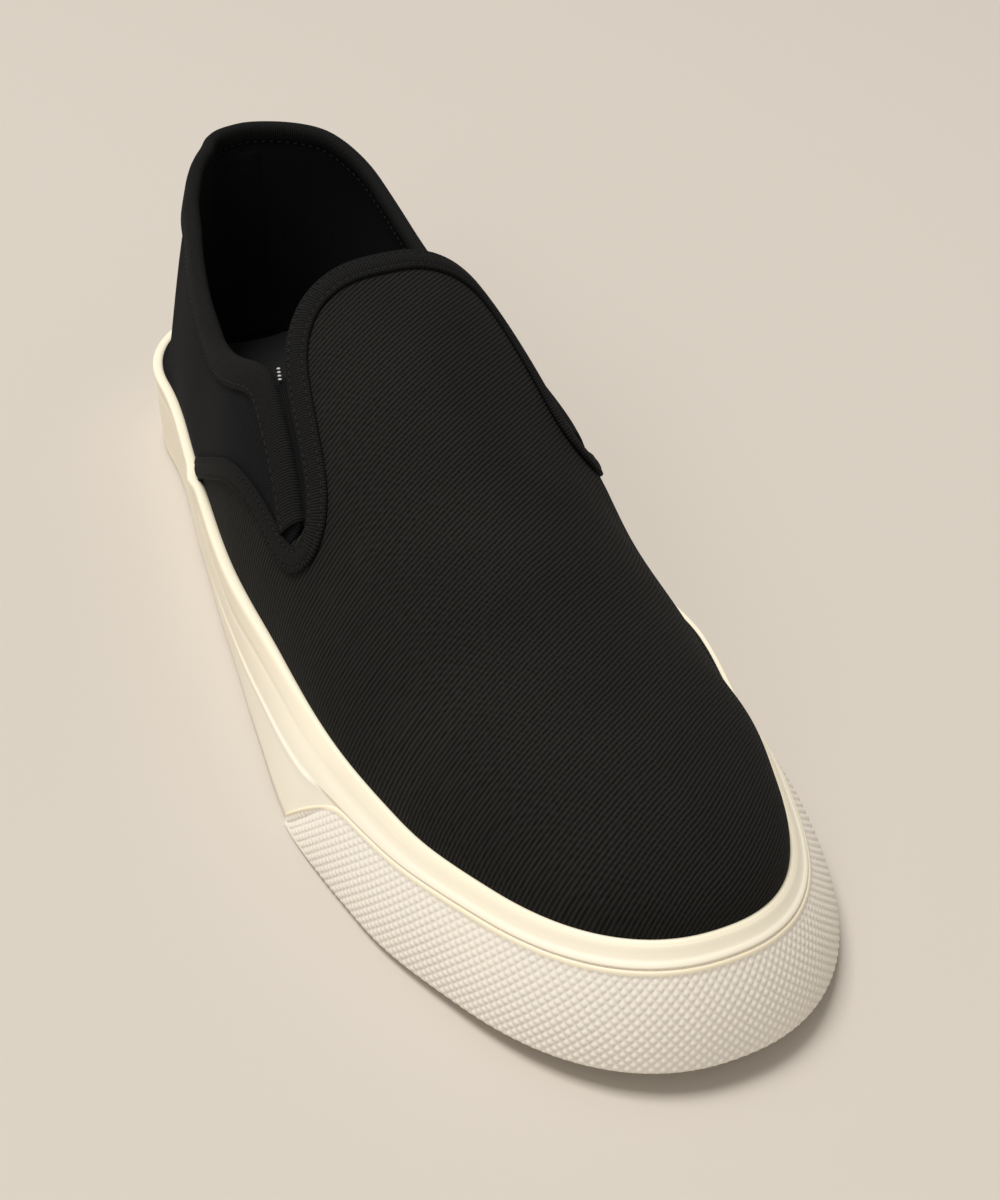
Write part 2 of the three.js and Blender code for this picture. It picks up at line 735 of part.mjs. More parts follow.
// The strip round the toe, outside the rubber side's front strip, with rounded ends
function bumperGeometry() {
  const places = (side) => {
    const start = bumperStart(side);
    const list = [0, 0.3, 0.65, 1].map((t) => columnOf(start + t * BUMPER_RISE));
    for (let i = 1; i < COLUMNS; i += 1) {
      if (shareOf(i * COLUMN_STEP) > start + 1.2 * BUMPER_RISE) list.push(i * COLUMN_STEP);
    }
    return list.map((column) => [column, side]);
  };
  const sections = [...places(-1), [Math.PI, 1], ...places(1).reverse()].map(([column, side]) => {
    const s = shareOf(column);
    const rise = THREE.MathUtils.clamp((s - bumperStart(side)) / BUMPER_RISE, 0, 1);
    const top = (follow(LINES, 1, s) - LINE_HALF) * THREE.MathUtils.lerp(0.3, 1, Math.sin((rise * Math.PI) / 2));
    const at = (height, outward) => betweenColumns(column, (c) => rubberPoint(
      c,
      side,
      rubberInset(c, side, height) - stepAt(shareOf(c)) - BUMPER_SEAT - outward,
      rubberHeight(shareOf(c), height),
    ));
    return [
      at(STRIP_FOOT, 0),
      at(STRIP_FOOT, BUMPER - EDGE_ROUND),
      at(STRIP_FOOT + LINE_HALF * 2, BUMPER),
      at(top / 2, BUMPER + BUMPER_BULGE),
      at(top - LINE_HALF, BUMPER),
      at(top, BUMPER - EDGE_ROUND),
      at(top, 0),
      at(top / 2, 0),
    ];
  });
  return loft(sections);
}

// The sole: flat under heel and forefoot, raised a little at the arch and at the toe, with grooves across it
function outsoleGeometry() {
  const stations = [];
  for (let i = 1; i < COLUMNS; i += 1) stations.push([i * COLUMN_STEP, 0]);
  const reach = GROOVE_WIDTH / 2 / LENGTH;
  const runs = [HEEL_GROOVES, FRONT_GROOVES];
  runs.forEach(([from, to]) => {
    for (let s = from; s < to; s += GROOVE_PITCH / LENGTH) {
      stations.push([columnOf(s - reach - GROOVE_EDGE), 0], [columnOf(s - reach), 1]);
      stations.push([columnOf(s + reach), 1], [columnOf(s + reach + GROOVE_EDGE), 0]);
    }
  });
  stations.sort((a, b) => a[0] - b[0]);
  const groove = (column) => {
    const s = shareOf(column);
    return runs.some(([from, to]) => {
      const count = Math.round((s - from) / (GROOVE_PITCH / LENGTH));
      const middle = from + count * (GROOVE_PITCH / LENGTH);
      return count >= 0 && middle < to && Math.abs(s - middle) < reach + GROOVE_EDGE / 2;
    });
  };
  const edge = (column, side) => betweenColumns(column, (c) => inset(c, side, soleInset(c, side)));
  const sections = stations.map(([column]) => {
    const s = shareOf(column);
    const arch = THREE.MathUtils.smoothstep(s, ...ARCH_BACK) - THREE.MathUtils.smoothstep(s, ...ARCH_FRONT);
    const bottom = springAt(s) + ARCH_RISE * arch + (groove(column) ? GROOVE_DEPTH : 0);
    const outer = edge(column, -1);
    const inner = edge(column, 1);
    return [
      new THREE.Vector3(outer.x, outer.y, bottom),
      new THREE.Vector3(inner.x, inner.y, bottom),
      new THREE.Vector3(inner.x, inner.y, soleTop(s)),
      new THREE.Vector3(outer.x, outer.y, soleTop(s)),
    ];
  });
  return loft(sections);
}

// The footbed, lying on the sole inside the upper
function insoleGeometry() {
  const sections = [];
  for (let i = 2; i < COLUMNS - 1; i += 1) {
    const column = i * COLUMN_STEP;
    const s = shareOf(column);
    const edge = (side) => inset(column, side, featherInset(column, side) + WALL + 2 * GAP);
    const outer = edge(-1);
    const inner = edge(1);
    const low = soleTop(s) + GAP;
    sections.push([
      new THREE.Vector3(outer.x, outer.y, low),
      new THREE.Vector3(inner.x, inner.y, low),
      new THREE.Vector3(inner.x, inner.y, low + INSOLE),
      new THREE.Vector3(outer.x, outer.y, low + INSOLE),
    ]);
  }
  return loft(sections);
}

const cloth = (color) => new THREE.MeshStandardMaterial({ color, roughness: 0.95, metalness: 0 });
const rubber = (color) => new THREE.MeshStandardMaterial({ color, roughness: 0.6, metalness: 0 });

const shoe = new THREE.Group();
function addPiece(name, geometry, material) {
  const mesh = new THREE.Mesh(geometry, material);
  mesh.name = name;
  shoe.add(mesh);
}

addPiece('outsole', outsoleGeometry(), rubber(0xe9e0c8));
addPiece('foxing', foxingGeometry(), rubber(0xf1e9d2));
addPiece('toe_bumper', bumperGeometry(), rubber(0xeee4c9));
addPiece('insole', insoleGeometry(), cloth(0x1b1a19));
addPiece('upper', upperGeometry(), cloth(0x191919));
addPiece('gore_lateral', goreGeometry(-1), cloth(0x121212));
addPiece('gore_medial', goreGeometry(1), cloth(0x121212));
addPiece('collar_binding', collarTapeGeometry(), cloth(0x222222));
addPiece('vamp_binding', vampTapeGeometry(), cloth(0x2b2a28));

export default shoe;
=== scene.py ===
import math
import bpy
import bmesh
import numpy as np
from mathutils import Matrix, Vector


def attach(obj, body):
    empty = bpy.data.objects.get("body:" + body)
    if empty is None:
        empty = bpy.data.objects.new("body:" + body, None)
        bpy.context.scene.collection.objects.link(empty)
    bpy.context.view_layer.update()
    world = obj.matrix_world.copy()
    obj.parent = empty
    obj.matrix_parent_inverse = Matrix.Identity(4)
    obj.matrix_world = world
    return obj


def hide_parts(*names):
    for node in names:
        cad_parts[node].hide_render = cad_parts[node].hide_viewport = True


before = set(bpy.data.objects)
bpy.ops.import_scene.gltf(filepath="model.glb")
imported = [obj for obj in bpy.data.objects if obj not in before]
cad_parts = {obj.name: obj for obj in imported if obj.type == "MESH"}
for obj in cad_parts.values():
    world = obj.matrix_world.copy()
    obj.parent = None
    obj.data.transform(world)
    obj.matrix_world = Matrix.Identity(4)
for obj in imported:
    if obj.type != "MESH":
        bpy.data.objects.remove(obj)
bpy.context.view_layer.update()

bpy.ops.object.select_all(action="DESELECT")

# Quarters: the back half of the upper, two pieces of cotton twill joined down the heel and backed with
# lining. They are cut to the collar's line, run forward to the gores, and their lower edge goes under
# the rubber. The shape is the last's, taken as ribs from the rubber's top edge up to the crown.

# Sizes in millimetres; the tables' shares are of these
LENGTH = 298
BALL_WIDTH = 108
INSTEP_HEIGHT = 97
COLLAR_HEIGHT = 82.5
FOXING_HEEL = 27
FOXING_TOE = 25
TOE_SPRING = 7
SPRING_START = 0.72
SOLE_HEEL = 14
SOLE_TOE = 11
TOE_LEAN = 10.5
TUCK = 1.5
FOXING_WRAP = 3.2
WRAP_GAP = 0.5
SOLE_GAP = 0.3
STEP = 0.7
STEP_FROM, STEP_TO = 0.3, 0.45
BUMPER = 2.0
BUMPER_SEAT = 0.4
BUMPER_RISE = 0.055
BUMPER_START = {-1: 0.655, 1: 0.607}
HEEL_CLOSE, HEEL_POWER = 0.13, 2.15
TOE_CLOSE, TOE_POWER = 0.2, 2.2
GIRTH = 62
MM = 0.001

# share, half width, bend, lean at the outer side, lean at the inner side
PLAN = [
    (0.00, 0.336, 0.004, 0.46, 0.46), (0.14, 0.332, 0.004, 0.16, 0.08), (0.30, 0.347, -0.032, 0.19, -0.19),
    (0.44, 0.375, -0.056, 0.31, -0.38), (0.56, 0.435, -0.035, 0.70, 0.00), (0.68, 0.498, 0.005, 1.00, 0.62),
    (0.78, 0.472, 0.019, 1.01, 1.00), (0.88, 0.419, 0.035, 0.97, 1.14), (1.00, 0.389, 0.042, 1.00, 1.00)]
# share of a rib's foot, share of its crown, bend of the crown line, power at the outer and the inner side
RIBS = [
    (0.00, 0.058, 0.022, 1.70, 1.70), (0.03, 0.075, 0.026, 1.30, 1.78), (0.08, 0.105, 0.020, 1.27, 1.90),
    (0.14, 0.150, 0.018, 1.43, 1.98), (0.22, 0.220, 0.018, 1.80, 2.20), (0.30, 0.300, 0.020, 2.05, 2.45),
    (0.44, 0.440, 0.009, 2.35, 2.30), (0.56, 0.560, 0.000, 2.10, 1.60), (0.70, 0.700, 0.009, 1.85, 1.45),
    (0.85, 0.810, 0.028, 2.00, 1.85), (1.00, 0.895, 0.039, 2.20, 2.20)]
# share, height of the crown line
CROWN = [
    (0.00, 1.361), (0.15, 1.258), (0.30, 1.124), (0.41, 1.000), (0.50, 0.896), (0.60, 0.770), (0.70, 0.655),
    (0.80, 0.565), (0.88, 0.515), (0.94, 0.475), (1.00, 0.440)]
# share, collar height at the outer and the inner side
COLLAR = [
    (0.00, 1.012, 1.012), (0.05, 1.004, 0.998), (0.10, 0.966, 0.938), (0.16, 0.926, 0.863),
    (0.22, 0.895, 0.805), (0.28, 0.868, 0.780), (0.34, 0.852, 0.800)]
# share, place across: the quarters' top edge in front of the collar, down to the foot of the gore
QUARTER_EDGE = {
    -1: [(0.373, 0.612), (0.404, 0.562), (0.428, 0.510), (0.443, 0.487), (0.456, 0.483), (0.468, 0.490),
         (0.484, 0.505), (0.503, 0.527), (0.522, 0.555), (0.538, 0.583), (0.549, 0.606), (0.557, 0.613)],
    1: [(0.362, 0.655), (0.380, 0.630), (0.394, 0.618), (0.408, 0.620), (0.424, 0.628), (0.445, 0.638),
        (0.468, 0.645), (0.490, 0.645), (0.508, 0.641), (0.520, 0.632), (0.527, 0.616)]}
# share, place across: the vamp's edge from there up to the instep
VAMP_EDGE = {
    -1: [(0.564, 0.602), (0.565, 0.578), (0.556, 0.545), (0.540, 0.510), (0.515, 0.472), (0.490, 0.438),
         (0.467, 0.405), (0.451, 0.375), (0.437, 0.330), (0.426, 0.280), (0.419, 0.210), (0.415, 0.110)],
    1: [(0.527, 0.597), (0.519, 0.580), (0.505, 0.566), (0.482, 0.552), (0.458, 0.535), (0.438, 0.510),
        (0.426, 0.475), (0.418, 0.420), (0.414, 0.340), (0.413, 0.230), (0.413, 0.110)]}
EDGE_INSTEP = 0.414
# share, place across: the middle of the tape from the rubber over the side seam and up to the instep
SEAM = {
    -1: [(0.311, 0.972), (0.333, 0.945), (0.365, 0.905), (0.405, 0.845), (0.440, 0.785), (0.470, 0.748),
         (0.500, 0.728), (0.528, 0.722), (0.550, 0.717), (0.566, 0.695), (0.575, 0.655), (0.577, 0.605),
         (0.571, 0.545), (0.556, 0.495), (0.532, 0.455), (0.505, 0.418), (0.481, 0.386), (0.461, 0.352),
         (0.446, 0.308), (0.435, 0.255), (0.428, 0.190), (0.424, 0.100)],
    1: [(0.307, 0.980), (0.322, 0.958), (0.348, 0.922), (0.378, 0.893), (0.410, 0.870), (0.443, 0.850),
        (0.474, 0.828), (0.502, 0.800), (0.523, 0.755), (0.537, 0.700), (0.542, 0.640), (0.537, 0.580),
        (0.523, 0.545), (0.500, 0.525), (0.475, 0.507), (0.453, 0.480), (0.438, 0.445), (0.428, 0.390),
        (0.424, 0.310), (0.423, 0.210), (0.423, 0.100)]}
TAPE_INSTEP = 0.424
# so many of these places lie on the side seam, up to the quarter's corner
SEAM_ROWS = 9


def hermite(t, start, leave, end, arrive):
    return ((2 * t**3 - 3 * t**2 + 1) * start + (t**3 - 2 * t**2 + t) * leave
            + (3 * t**2 - 2 * t**3) * end + (t**3 - t**2) * arrive)


def follow(table, column, at):
    # a smooth curve through one column of a table, flat where the column turns
    t = np.array(table, float)
    x, y = t[:, 0], t[:, column]
    slope = np.diff(y) / np.diff(x)
    tangent = np.empty(len(y))
    tangent[0], tangent[-1] = slope[0], slope[-1]
    before, after = slope[:-1], slope[1:]
    same = before * after > 0
    tangent[1:-1] = np.where(same, 2 * before * after / np.where(same, before + after, 1), 0)
    at = np.asarray(at, float)
    row = np.clip(np.searchsorted(x, at, side="left") - 1, 0, len(x) - 2)
    width = x[row + 1] - x[row]
    u = np.clip((at - x[row]) / width, 0, 1)
    return hermite(u, y[row], width * tangent[row], y[row + 1], width * tangent[row + 1])


def smoothstep(x, low, high):
    # rises from 0 at low to 1 at high; low may be the greater
    t = np.clip((x - low) / (high - low), 0, 1)
    return t * t * (3 - 2 * t)


def mix(a, b, t):
    return a + (b - a) * t


def run_along(points):
    # the distance from the first point of a row to each
    return np.concatenate([[0], np.cumsum(np.linalg.norm(np.diff(points, axis=0), axis=1))])


def at_runs(runs, run, points):
    # the places at given distances along a row of points
    return np.stack([np.interp(runs, run, values) for values in np.transpose(points)], -1)


def unit(vectors):
    return vectors / np.linalg.norm(vectors, axis=-1, keepdims=True)


def share_of(column):
    return 0.5 - 0.5 * np.cos(column)


def column_of(share):
    return np.arccos(np.clip(1 - 2 * np.asarray(share, float), -1, 1))


def spring_at(share):
    return TOE_SPRING * np.clip((share - SPRING_START) / (1 - SPRING_START), 0, None) ** 2


def sole_top(share):
    return mix(SOLE_HEEL, SOLE_TOE, share) + spring_at(share)


def foxing_top(share):
    return mix(FOXING_HEEL, FOXING_TOE, share) + spring_at(share)


def by_side(side, lateral, medial):
    return np.where(side < 0, lateral, medial)


def fold(column, side):
    # past either end the outline goes on up the other side
    away = (column < 0) | (column > np.pi)
    angle = np.where(column < 0, -column, np.where(column > np.pi, 2 * np.pi - column, column))
    return angle, np.where(away, -side, side)


def outline(column, side):
    angle, hand = fold(column, side)
    s = share_of(angle)
    heel = np.clip((HEEL_CLOSE - s) / HEEL_CLOSE, 0, None)
    toe = np.clip((s - 1 + TOE_CLOSE) / TOE_CLOSE, 0, None)
    close = (1 - heel ** HEEL_POWER) ** (1 / HEEL_POWER) * (1 - toe ** TOE_POWER) ** (1 / TOE_POWER)
    y = follow(PLAN, 2, s) * BALL_WIDTH + hand * follow(PLAN, 1, s) * BALL_WIDTH * close
    return np.stack([(s - 0.5) * LENGTH, y], -1)


def inset(column, side, distance):
    step = 0.01
    travel = unit(outline(column + step, side) - outline(column - step, side))
    inward = np.stack([travel[..., 1], -travel[..., 0]], -1) * np.asarray(side, float)[..., None]
    return outline(column, side) + inward * np.asarray(distance, float)[..., None]


def lean_at(column, side):
    s = share_of(column)
    return TOE_LEAN * by_side(side, follow(PLAN, 3, s), follow(PLAN, 4, s))


def step_at(share):
    return STEP * smoothstep(share, STEP_FROM, STEP_TO)


def bumper_start(side):
    return by_side(side, BUMPER_START[-1], BUMPER_START[1])


def seat_depth(column, side, later=0.0):
    # how deep the rubber's foot is sunk; the seat under the toe strip may begin later than in the solids
    s = share_of(column)
    start = bumper_start(side) + later
    return step_at(s) + (BUMPER + BUMPER_SEAT) * smoothstep(s, start - BUMPER_RISE, start)


def feather_inset(column, side):
    # how far in the upper's foot lies where it meets the sole
    return np.maximum(lean_at(column, side) + TUCK, FOXING_WRAP + seat_depth(column, side) + WRAP_GAP)


def crown_at(share):
    # where a rib starts on the crown line, in plan
    return np.stack([(follow(RIBS, 1, share) - 0.5) * LENGTH, follow(RIBS, 2, share) * BALL_WIDTH], -1)


def together(*values):
    return np.broadcast_arrays(*(np.asarray(value, float) for value in values))


def skin(column, side, level):
    # a point of the upper's face: level -1 at its foot, 0 at the rubber's top edge, 1 on the crown line
    column, side, level = together(column, side, level)
    over = level > 1
    up = np.where(over, 2 - level, level)
    hand = np.where(over, -side, side)
    angle, hand = fold(column, hand)
    s = share_of(angle)
    lean = lean_at(angle, hand)
    below = np.clip(-up, 0, 1)
    base = inset(angle, hand, mix(lean, feather_inset(angle, hand), below ** 1.5))
    crown = crown_at(s)
    power = 2 / by_side(hand, follow(RIBS, 3, s), follow(RIBS, 4, s))
    turn = np.clip(up, 0, 1) * np.pi / 2
    out = np.clip(np.cos(turn), 0, 1) ** power
    rise = np.sin(turn) ** power
    place = crown + (base - crown) * out[..., None]
    top = follow(CROWN, 1, place[..., 0] / LENGTH + 0.5) * INSTEP_HEIGHT
    bottom = foxing_top(s)
    z = bottom + (top - bottom) * rise - (bottom - sole_top(s) - SOLE_GAP) * below
    return np.concatenate([place, z[..., None]], -1)


def facing(column, side, level):
    # the way out of that face
    step = 0.004
    column, side, level = together(column, side, level)
    near = np.minimum(level, 1 - step)
    settled = np.where(level > 0.97, np.clip(column, 0.06, np.pi - 0.06), column)
    ahead = skin(settled + step, side, near) - skin(settled - step, side, near)
    upward = skin(settled, side, near + step) - skin(settled, side, near - step)
    out = np.cross(ahead, upward) * -side[..., None]
    crown = level > 1 - step
    out[..., 1] = np.where(crown, 0, out[..., 1])
    return unit(out)


def lifted(column, side, level, offset):
    offset = np.asarray(offset, float)
    return skin(column, side, level) + facing(column, side, level) * offset[..., None]


def side_of(across):
    return np.where(np.asarray(across) < 0, -1.0, 1.0)


def on_upper(share, across, offset=0.0):
    offset = np.broadcast_to(offset, np.shape(share))
    return lifted(column_of(share), side_of(across), 1 - np.abs(across), offset)


def out_of_upper(share, across):
    return facing(column_of(share), side_of(across), 1 - np.abs(across))


def level_at(column, side, height):
    # where a height falls on each rib
    low, high = np.zeros_like(column), np.ones_like(column)
    for _ in range(30):
        middle = (low + high) / 2
        under = skin(column, side, middle)[..., 2] < height
        low, high = np.where(under, middle, low), np.where(under, high, middle)
    return (low + high) / 2


def smooth_line(rows, spacing):
    # evenly spaced points of a smooth curve through places given as share and across
    knots = np.array(rows, float) * (LENGTH, GIRTH)
    knots = np.vstack([2 * knots[0] - knots[1], knots, 2 * knots[-1] - knots[-2]])
    line = []
    for a, b, c, d in zip(knots, knots[1:], knots[2:], knots[3:]):
        first, middle, last = (np.linalg.norm(q - p) ** 0.5 for p, q in ((a, b), (b, c), (c, d)))
        leave = ((b - a) / first - (c - a) / (first + middle) + (c - b) / middle) * middle
        arrive = ((c - b) / middle - (d - b) / (middle + last) + (d - c) / last) * middle
        t = np.linspace(0, 1, 24, endpoint=False)[:, None]
        line.append(hermite(t, b, leave, c, arrive))
    line = np.vstack(line + [knots[-2:-1]])
    run = run_along(line)
    at = np.linspace(0, run[-1], max(3, round(run[-1] / spacing) + 1))
    return at_runs(at, run, line) / (LENGTH, GIRTH)


def add_object(name, data):
    made = bpy.data.objects.new(name, data)
    bpy.context.scene.collection.objects.link(made)
    return made


def grid_piece(name, points, uv, materials, flip=False, closed=False, caps=False):
    # a mesh from a grid of points in millimetres, with a UV map in millimetres
    points, uv = np.asarray(points, float), np.asarray(uv, float)
    if closed:
        points = np.concatenate([points, points[:, :1]], 1)
        if uv.shape[1] < points.shape[1]:
            uv = np.concatenate([uv, uv[:, :1]], 1)
    rows, columns = points.shape[:2]
    index = np.arange(rows * columns).reshape(rows, columns)
    quads = np.stack([index[:-1, :-1], index[1:, :-1], index[1:, 1:], index[:-1, 1:]], -1).reshape(-1, 4)
    if flip:
        quads = quads[:, ::-1]
    faces = quads.tolist()
    if caps:
        ends = [index[0, :-1].tolist(), index[-1, :-1].tolist()[::-1]]
        faces += [end[::-1] for end in ends] if flip else ends
    mesh = bpy.data.meshes.new(name)
    mesh.from_pydata((points.reshape(-1, 3) * MM).tolist(), [], faces)
    flat = uv.reshape(-1, 2)[[v for face in faces for v in face]]
    mesh.uv_layers.new(name="UVMap").data.foreach_set("uv", flat.ravel())
    shape = bmesh.new()
    shape.from_mesh(mesh)
    bmesh.ops.remove_doubles(shape, verts=shape.verts, dist=1e-6)
    shape.to_mesh(mesh)
    shape.free()
    mesh.shade_smooth()
    for material in materials:
        mesh.materials.append(material)
    return add_object(name, mesh)


def finish_with(piece, kind, **settings):
    # adds a modifier and applies it
    modifier = piece.modifiers.new(kind.title(), kind)
    for key, value in settings.items():
        setattr(modifier, key, value)
    bpy.context.view_layer.objects.active = piece
    piece.select_set(True)
    bpy.ops.object.modifier_apply(modifier=modifier.name)
    piece.select_set(False)


def colour(text):
    # an sRGB hex value as linear light
    values = [int(text[i:i + 2], 16) / 255 for i in (1, 3, 5)]
    return [v / 12.92 if v <= 0.04045 else ((v + 0.055) / 1.055) ** 2.4 for v in values] + [1]


def node(tree, kind, settings=(), links=(), **values):
    # one node with its settings, the values of its inputs by name and what is linked to them
    made = tree.nodes.new(kind)
    for key, value in dict(settings).items():
        setattr(made, key, value)
    for key, value in values.items():
        made.inputs[1 if key == "second" else key.replace("_", " ")].default_value = value
    for key, source in dict(links).items():
        tree.links.new(source, made.inputs[key])
    return made


def new_material(name):
    material = bpy.data.materials.new(name)
    material.use_nodes = True
    tree = material.node_tree
    return material, tree, tree.nodes["Principled BSDF"]


def plain_material(name, tone, roughness, specular=0.5):
    material, tree, shader = new_material(name)
    shader.inputs["Base Color"].default_value = colour(tone)
    shader.inputs["Roughness"].default_value = roughness
    shader.inputs["Specular IOR Level"].default_value = specular
    return material, tree, shader


# a wave texture of this scale has one band to a millimetre of the UV map
WAVE = 2 * math.pi / 20


def bands(tree, place, axis, pitch, distortion, finer=1.0):
    return node(tree, "ShaderNodeTexWave", {"bands_direction": axis}, {"Vector": place}, Scale=WAVE / pitch,
                Distortion=distortion, Detail=1.0, Detail_Scale=finer).outputs["Fac"]


def noise(tree, place, scale, detail):
    made = node(tree, "ShaderNodeTexNoise", links={"Vector": place}, Scale=scale, Detail=detail)
    return made.outputs["Fac"]


def spread(tree, value, **limits):
    return node(tree, "ShaderNodeMapRange", links={"Value": value}, **limits).outputs["Result"]


def emboss(tree, shader, height, strength, relief):
    # relief in millimetres
    bump = node(tree, "ShaderNodeBump", links={"Height": height}, Strength=strength, Distance=relief * MM)
    tree.links.new(bump.outputs["Normal"], shader.inputs["Normal"])


def cloth_uv(tree):
    return node(tree, "ShaderNodeUVMap", {"uv_map": "UVMap"}).outputs["UV"]


def weighted(tree, value, weight, other):
    # value times weight plus other
    return node(tree, "ShaderNodeMath", {"operation": "MULTIPLY_ADD"}, {0: value, 2: other},
                second=weight).outputs[0]


def blend(tree, factor, first, last):
    tone = node(tree, "ShaderNodeMix", {"data_type": "RGBA"}, {"Factor": factor})
    tone.inputs["A"].default_value = colour(first)
    tone.inputs["B"].default_value = colour(last)
    return tone.outputs["Result"]


def ramp(tree, factor, first, last):
    tones = node(tree, "ShaderNodeValToRGB", links={"Fac": factor})
    for element, tone in zip(tones.color_ramp.elements, (first, last)):
        element.color = colour(tone)
    return tones.outputs["Color"]


def cloth_surface(tree, shader, tone, height, relief, roughness, specular=0.5, strength=1.0):
    emboss(tree, shader, height, strength, relief)
    tree.links.new(tone, shader.inputs["Base Color"])
    shader.inputs["Roughness"].default_value = roughness
    shader.inputs["Specular IOR Level"].default_value = specular


def twill_material(name, dark, light, pitch, angle, relief, fade):
    # heavy cotton twill, dyed black: slanting ribs of warp over weft, matt, with a faint dusty bloom of
    # loose fibre. The ribs lie under a millimetre apart, and closer on the quarters than on the vamp.
    material, tree, shader = new_material(name)
    uv = cloth_uv(tree)
    turn = node(tree, "ShaderNodeMapping", links={"Vector": uv})
    turn.inputs["Rotation"].default_value = (0, 0, math.radians(angle))
    ribs = bands(tree, turn.outputs["Vector"], "X", pitch, 0.5, 2.5)
    threads = bands(tree, turn.outputs["Vector"], "Y", pitch * 0.8, 1.6, 2.0)
    fuzz = noise(tree, uv, 1.7, 3.0)
    cloud = noise(tree, uv, 0.035, 3.0)
    worn = weighted(tree, fuzz, 0.9, weighted(tree, threads, 0.12, ribs))
    span = spread(tree, worn, From_Min=0.35, From_Max=1.75)
    patch = spread(tree, cloud, From_Min=0.3, From_Max=0.7, To_Min=1 - fade, To_Max=1 + fade)
    shade = node(tree, "ShaderNodeVectorMath", {"operation": "SCALE"},
                 {0: blend(tree, span, dark, light), "Scale": patch})
    cloth_surface(tree, shader, shade.outputs["Vector"], worn, relief, 0.95, 0.12)
    return material


def cloth_lining(name, tone):
    # cotton drill lining, dyed black and brushed: plain fine weave, quite matt
    material, tree, shader = new_material(name)
    threads = noise(tree, cloth_uv(tree), 1.2, 4.0)
    cloth_surface(tree, shader, ramp(tree, threads, "#0d0d0d", tone), threads, 0.2, 0.95, 0.2, strength=0.6)
    return material


TWILL_PITCH = 0.95
TWILL_ANGLE = -28
QUARTER_PITCH = TWILL_PITCH * 0.7
QUARTER_ANGLE = 62
quarter_twill = twill_material("Cotton twill, quarters", "#040405", "#1a1b1e", QUARTER_PITCH, QUARTER_ANGLE,
                               0.10, 0.10)
lining = cloth_lining("Cotton drill lining", "#151515")
CLOTH = 1.6


def collar_line(side, count):
    # places of the collar's edge from the middle of the heel forward on one side
    columns = np.linspace(0, column_of(COLLAR[-1][0]), count)
    s = share_of(columns)
    height = COLLAR_HEIGHT * follow(COLLAR, 1 if side < 0 else 2, s)
    return np.stack([s, 1 - level_at(columns, np.full(count, float(side)), height)], -1)


def quarter_top(side):
    # the quarters' whole top edge on one side: share, place across
    collar = collar_line(side, 40)
    return np.vstack([collar, smooth_line([tuple(collar[-1])] + QUARTER_EDGE[side], 1.0)[1:]])


# side (0 for both), share, place across, reach along, reach across, depth out of the face
SOFT_FORMS = [
    (-1, 0.052, 0.82, 23, 13, -4.3), (-1, 0.24, 0.86, 26, 9, 0.9), (1, 0.22, 0.86, 26, 9, 0.8),
    (1, 0.09, 0.66, 34, 15, 2.2), (0, 0.00, 0.58, 14, 10, 0.7), (-1, 0.026, 0.60, 18, 14, -1.4),
    (-1, 0.42, 0.70, 14, 6, 0.5), (1, 0.40, 0.76, 14, 6, 0.5), (1, 0.53, 0.80, 20, 17, 4.8),
    (1, 0.67, 0.80, 26, 16, -2.0),
    (0, 0.64, 0.10, 8, 26, -0.5), (0, 0.70, 0.12, 8, 26, 0.4), (-1, 0.62, 0.62, 12, 8, -0.6),
    (1, 0.60, 0.62, 12, 8, -0.6), (-1, 0.80, 0.55, 20, 12, 0.5), (1, 0.80, 0.50, 20, 12, 0.4)]


fine_columns = np.linspace(0, np.pi, 400)
fine_run = run_along(outline(fine_columns, np.full(400, -1.0)))


def run_at(share):
    # how far round the outline a share lies from the middle of the heel
    return np.interp(column_of(share), fine_columns, fine_run)


def give(share, across):
    # soft forms of the worn cloth, in millimetres out of the last's face
    side, run = side_of(across), run_at(share)
    out = np.zeros(np.broadcast(share, across).shape)
    for hand, s, u, long, wide, depth in SOFT_FORMS:
        away = ((run - run_at(s)) / long) ** 2 + ((np.abs(across) - u) * GIRTH / wide) ** 2
        out += np.where((side == hand) | (hand == 0), depth * np.exp(-away), 0)
    # nothing gives where the cloth goes under the rubber
    return out * smoothstep(np.abs(across), 1.02, 0.93)


def on_cloth(share, across, offset=0.0):
    return on_upper(share, across, give(share, across) + offset)


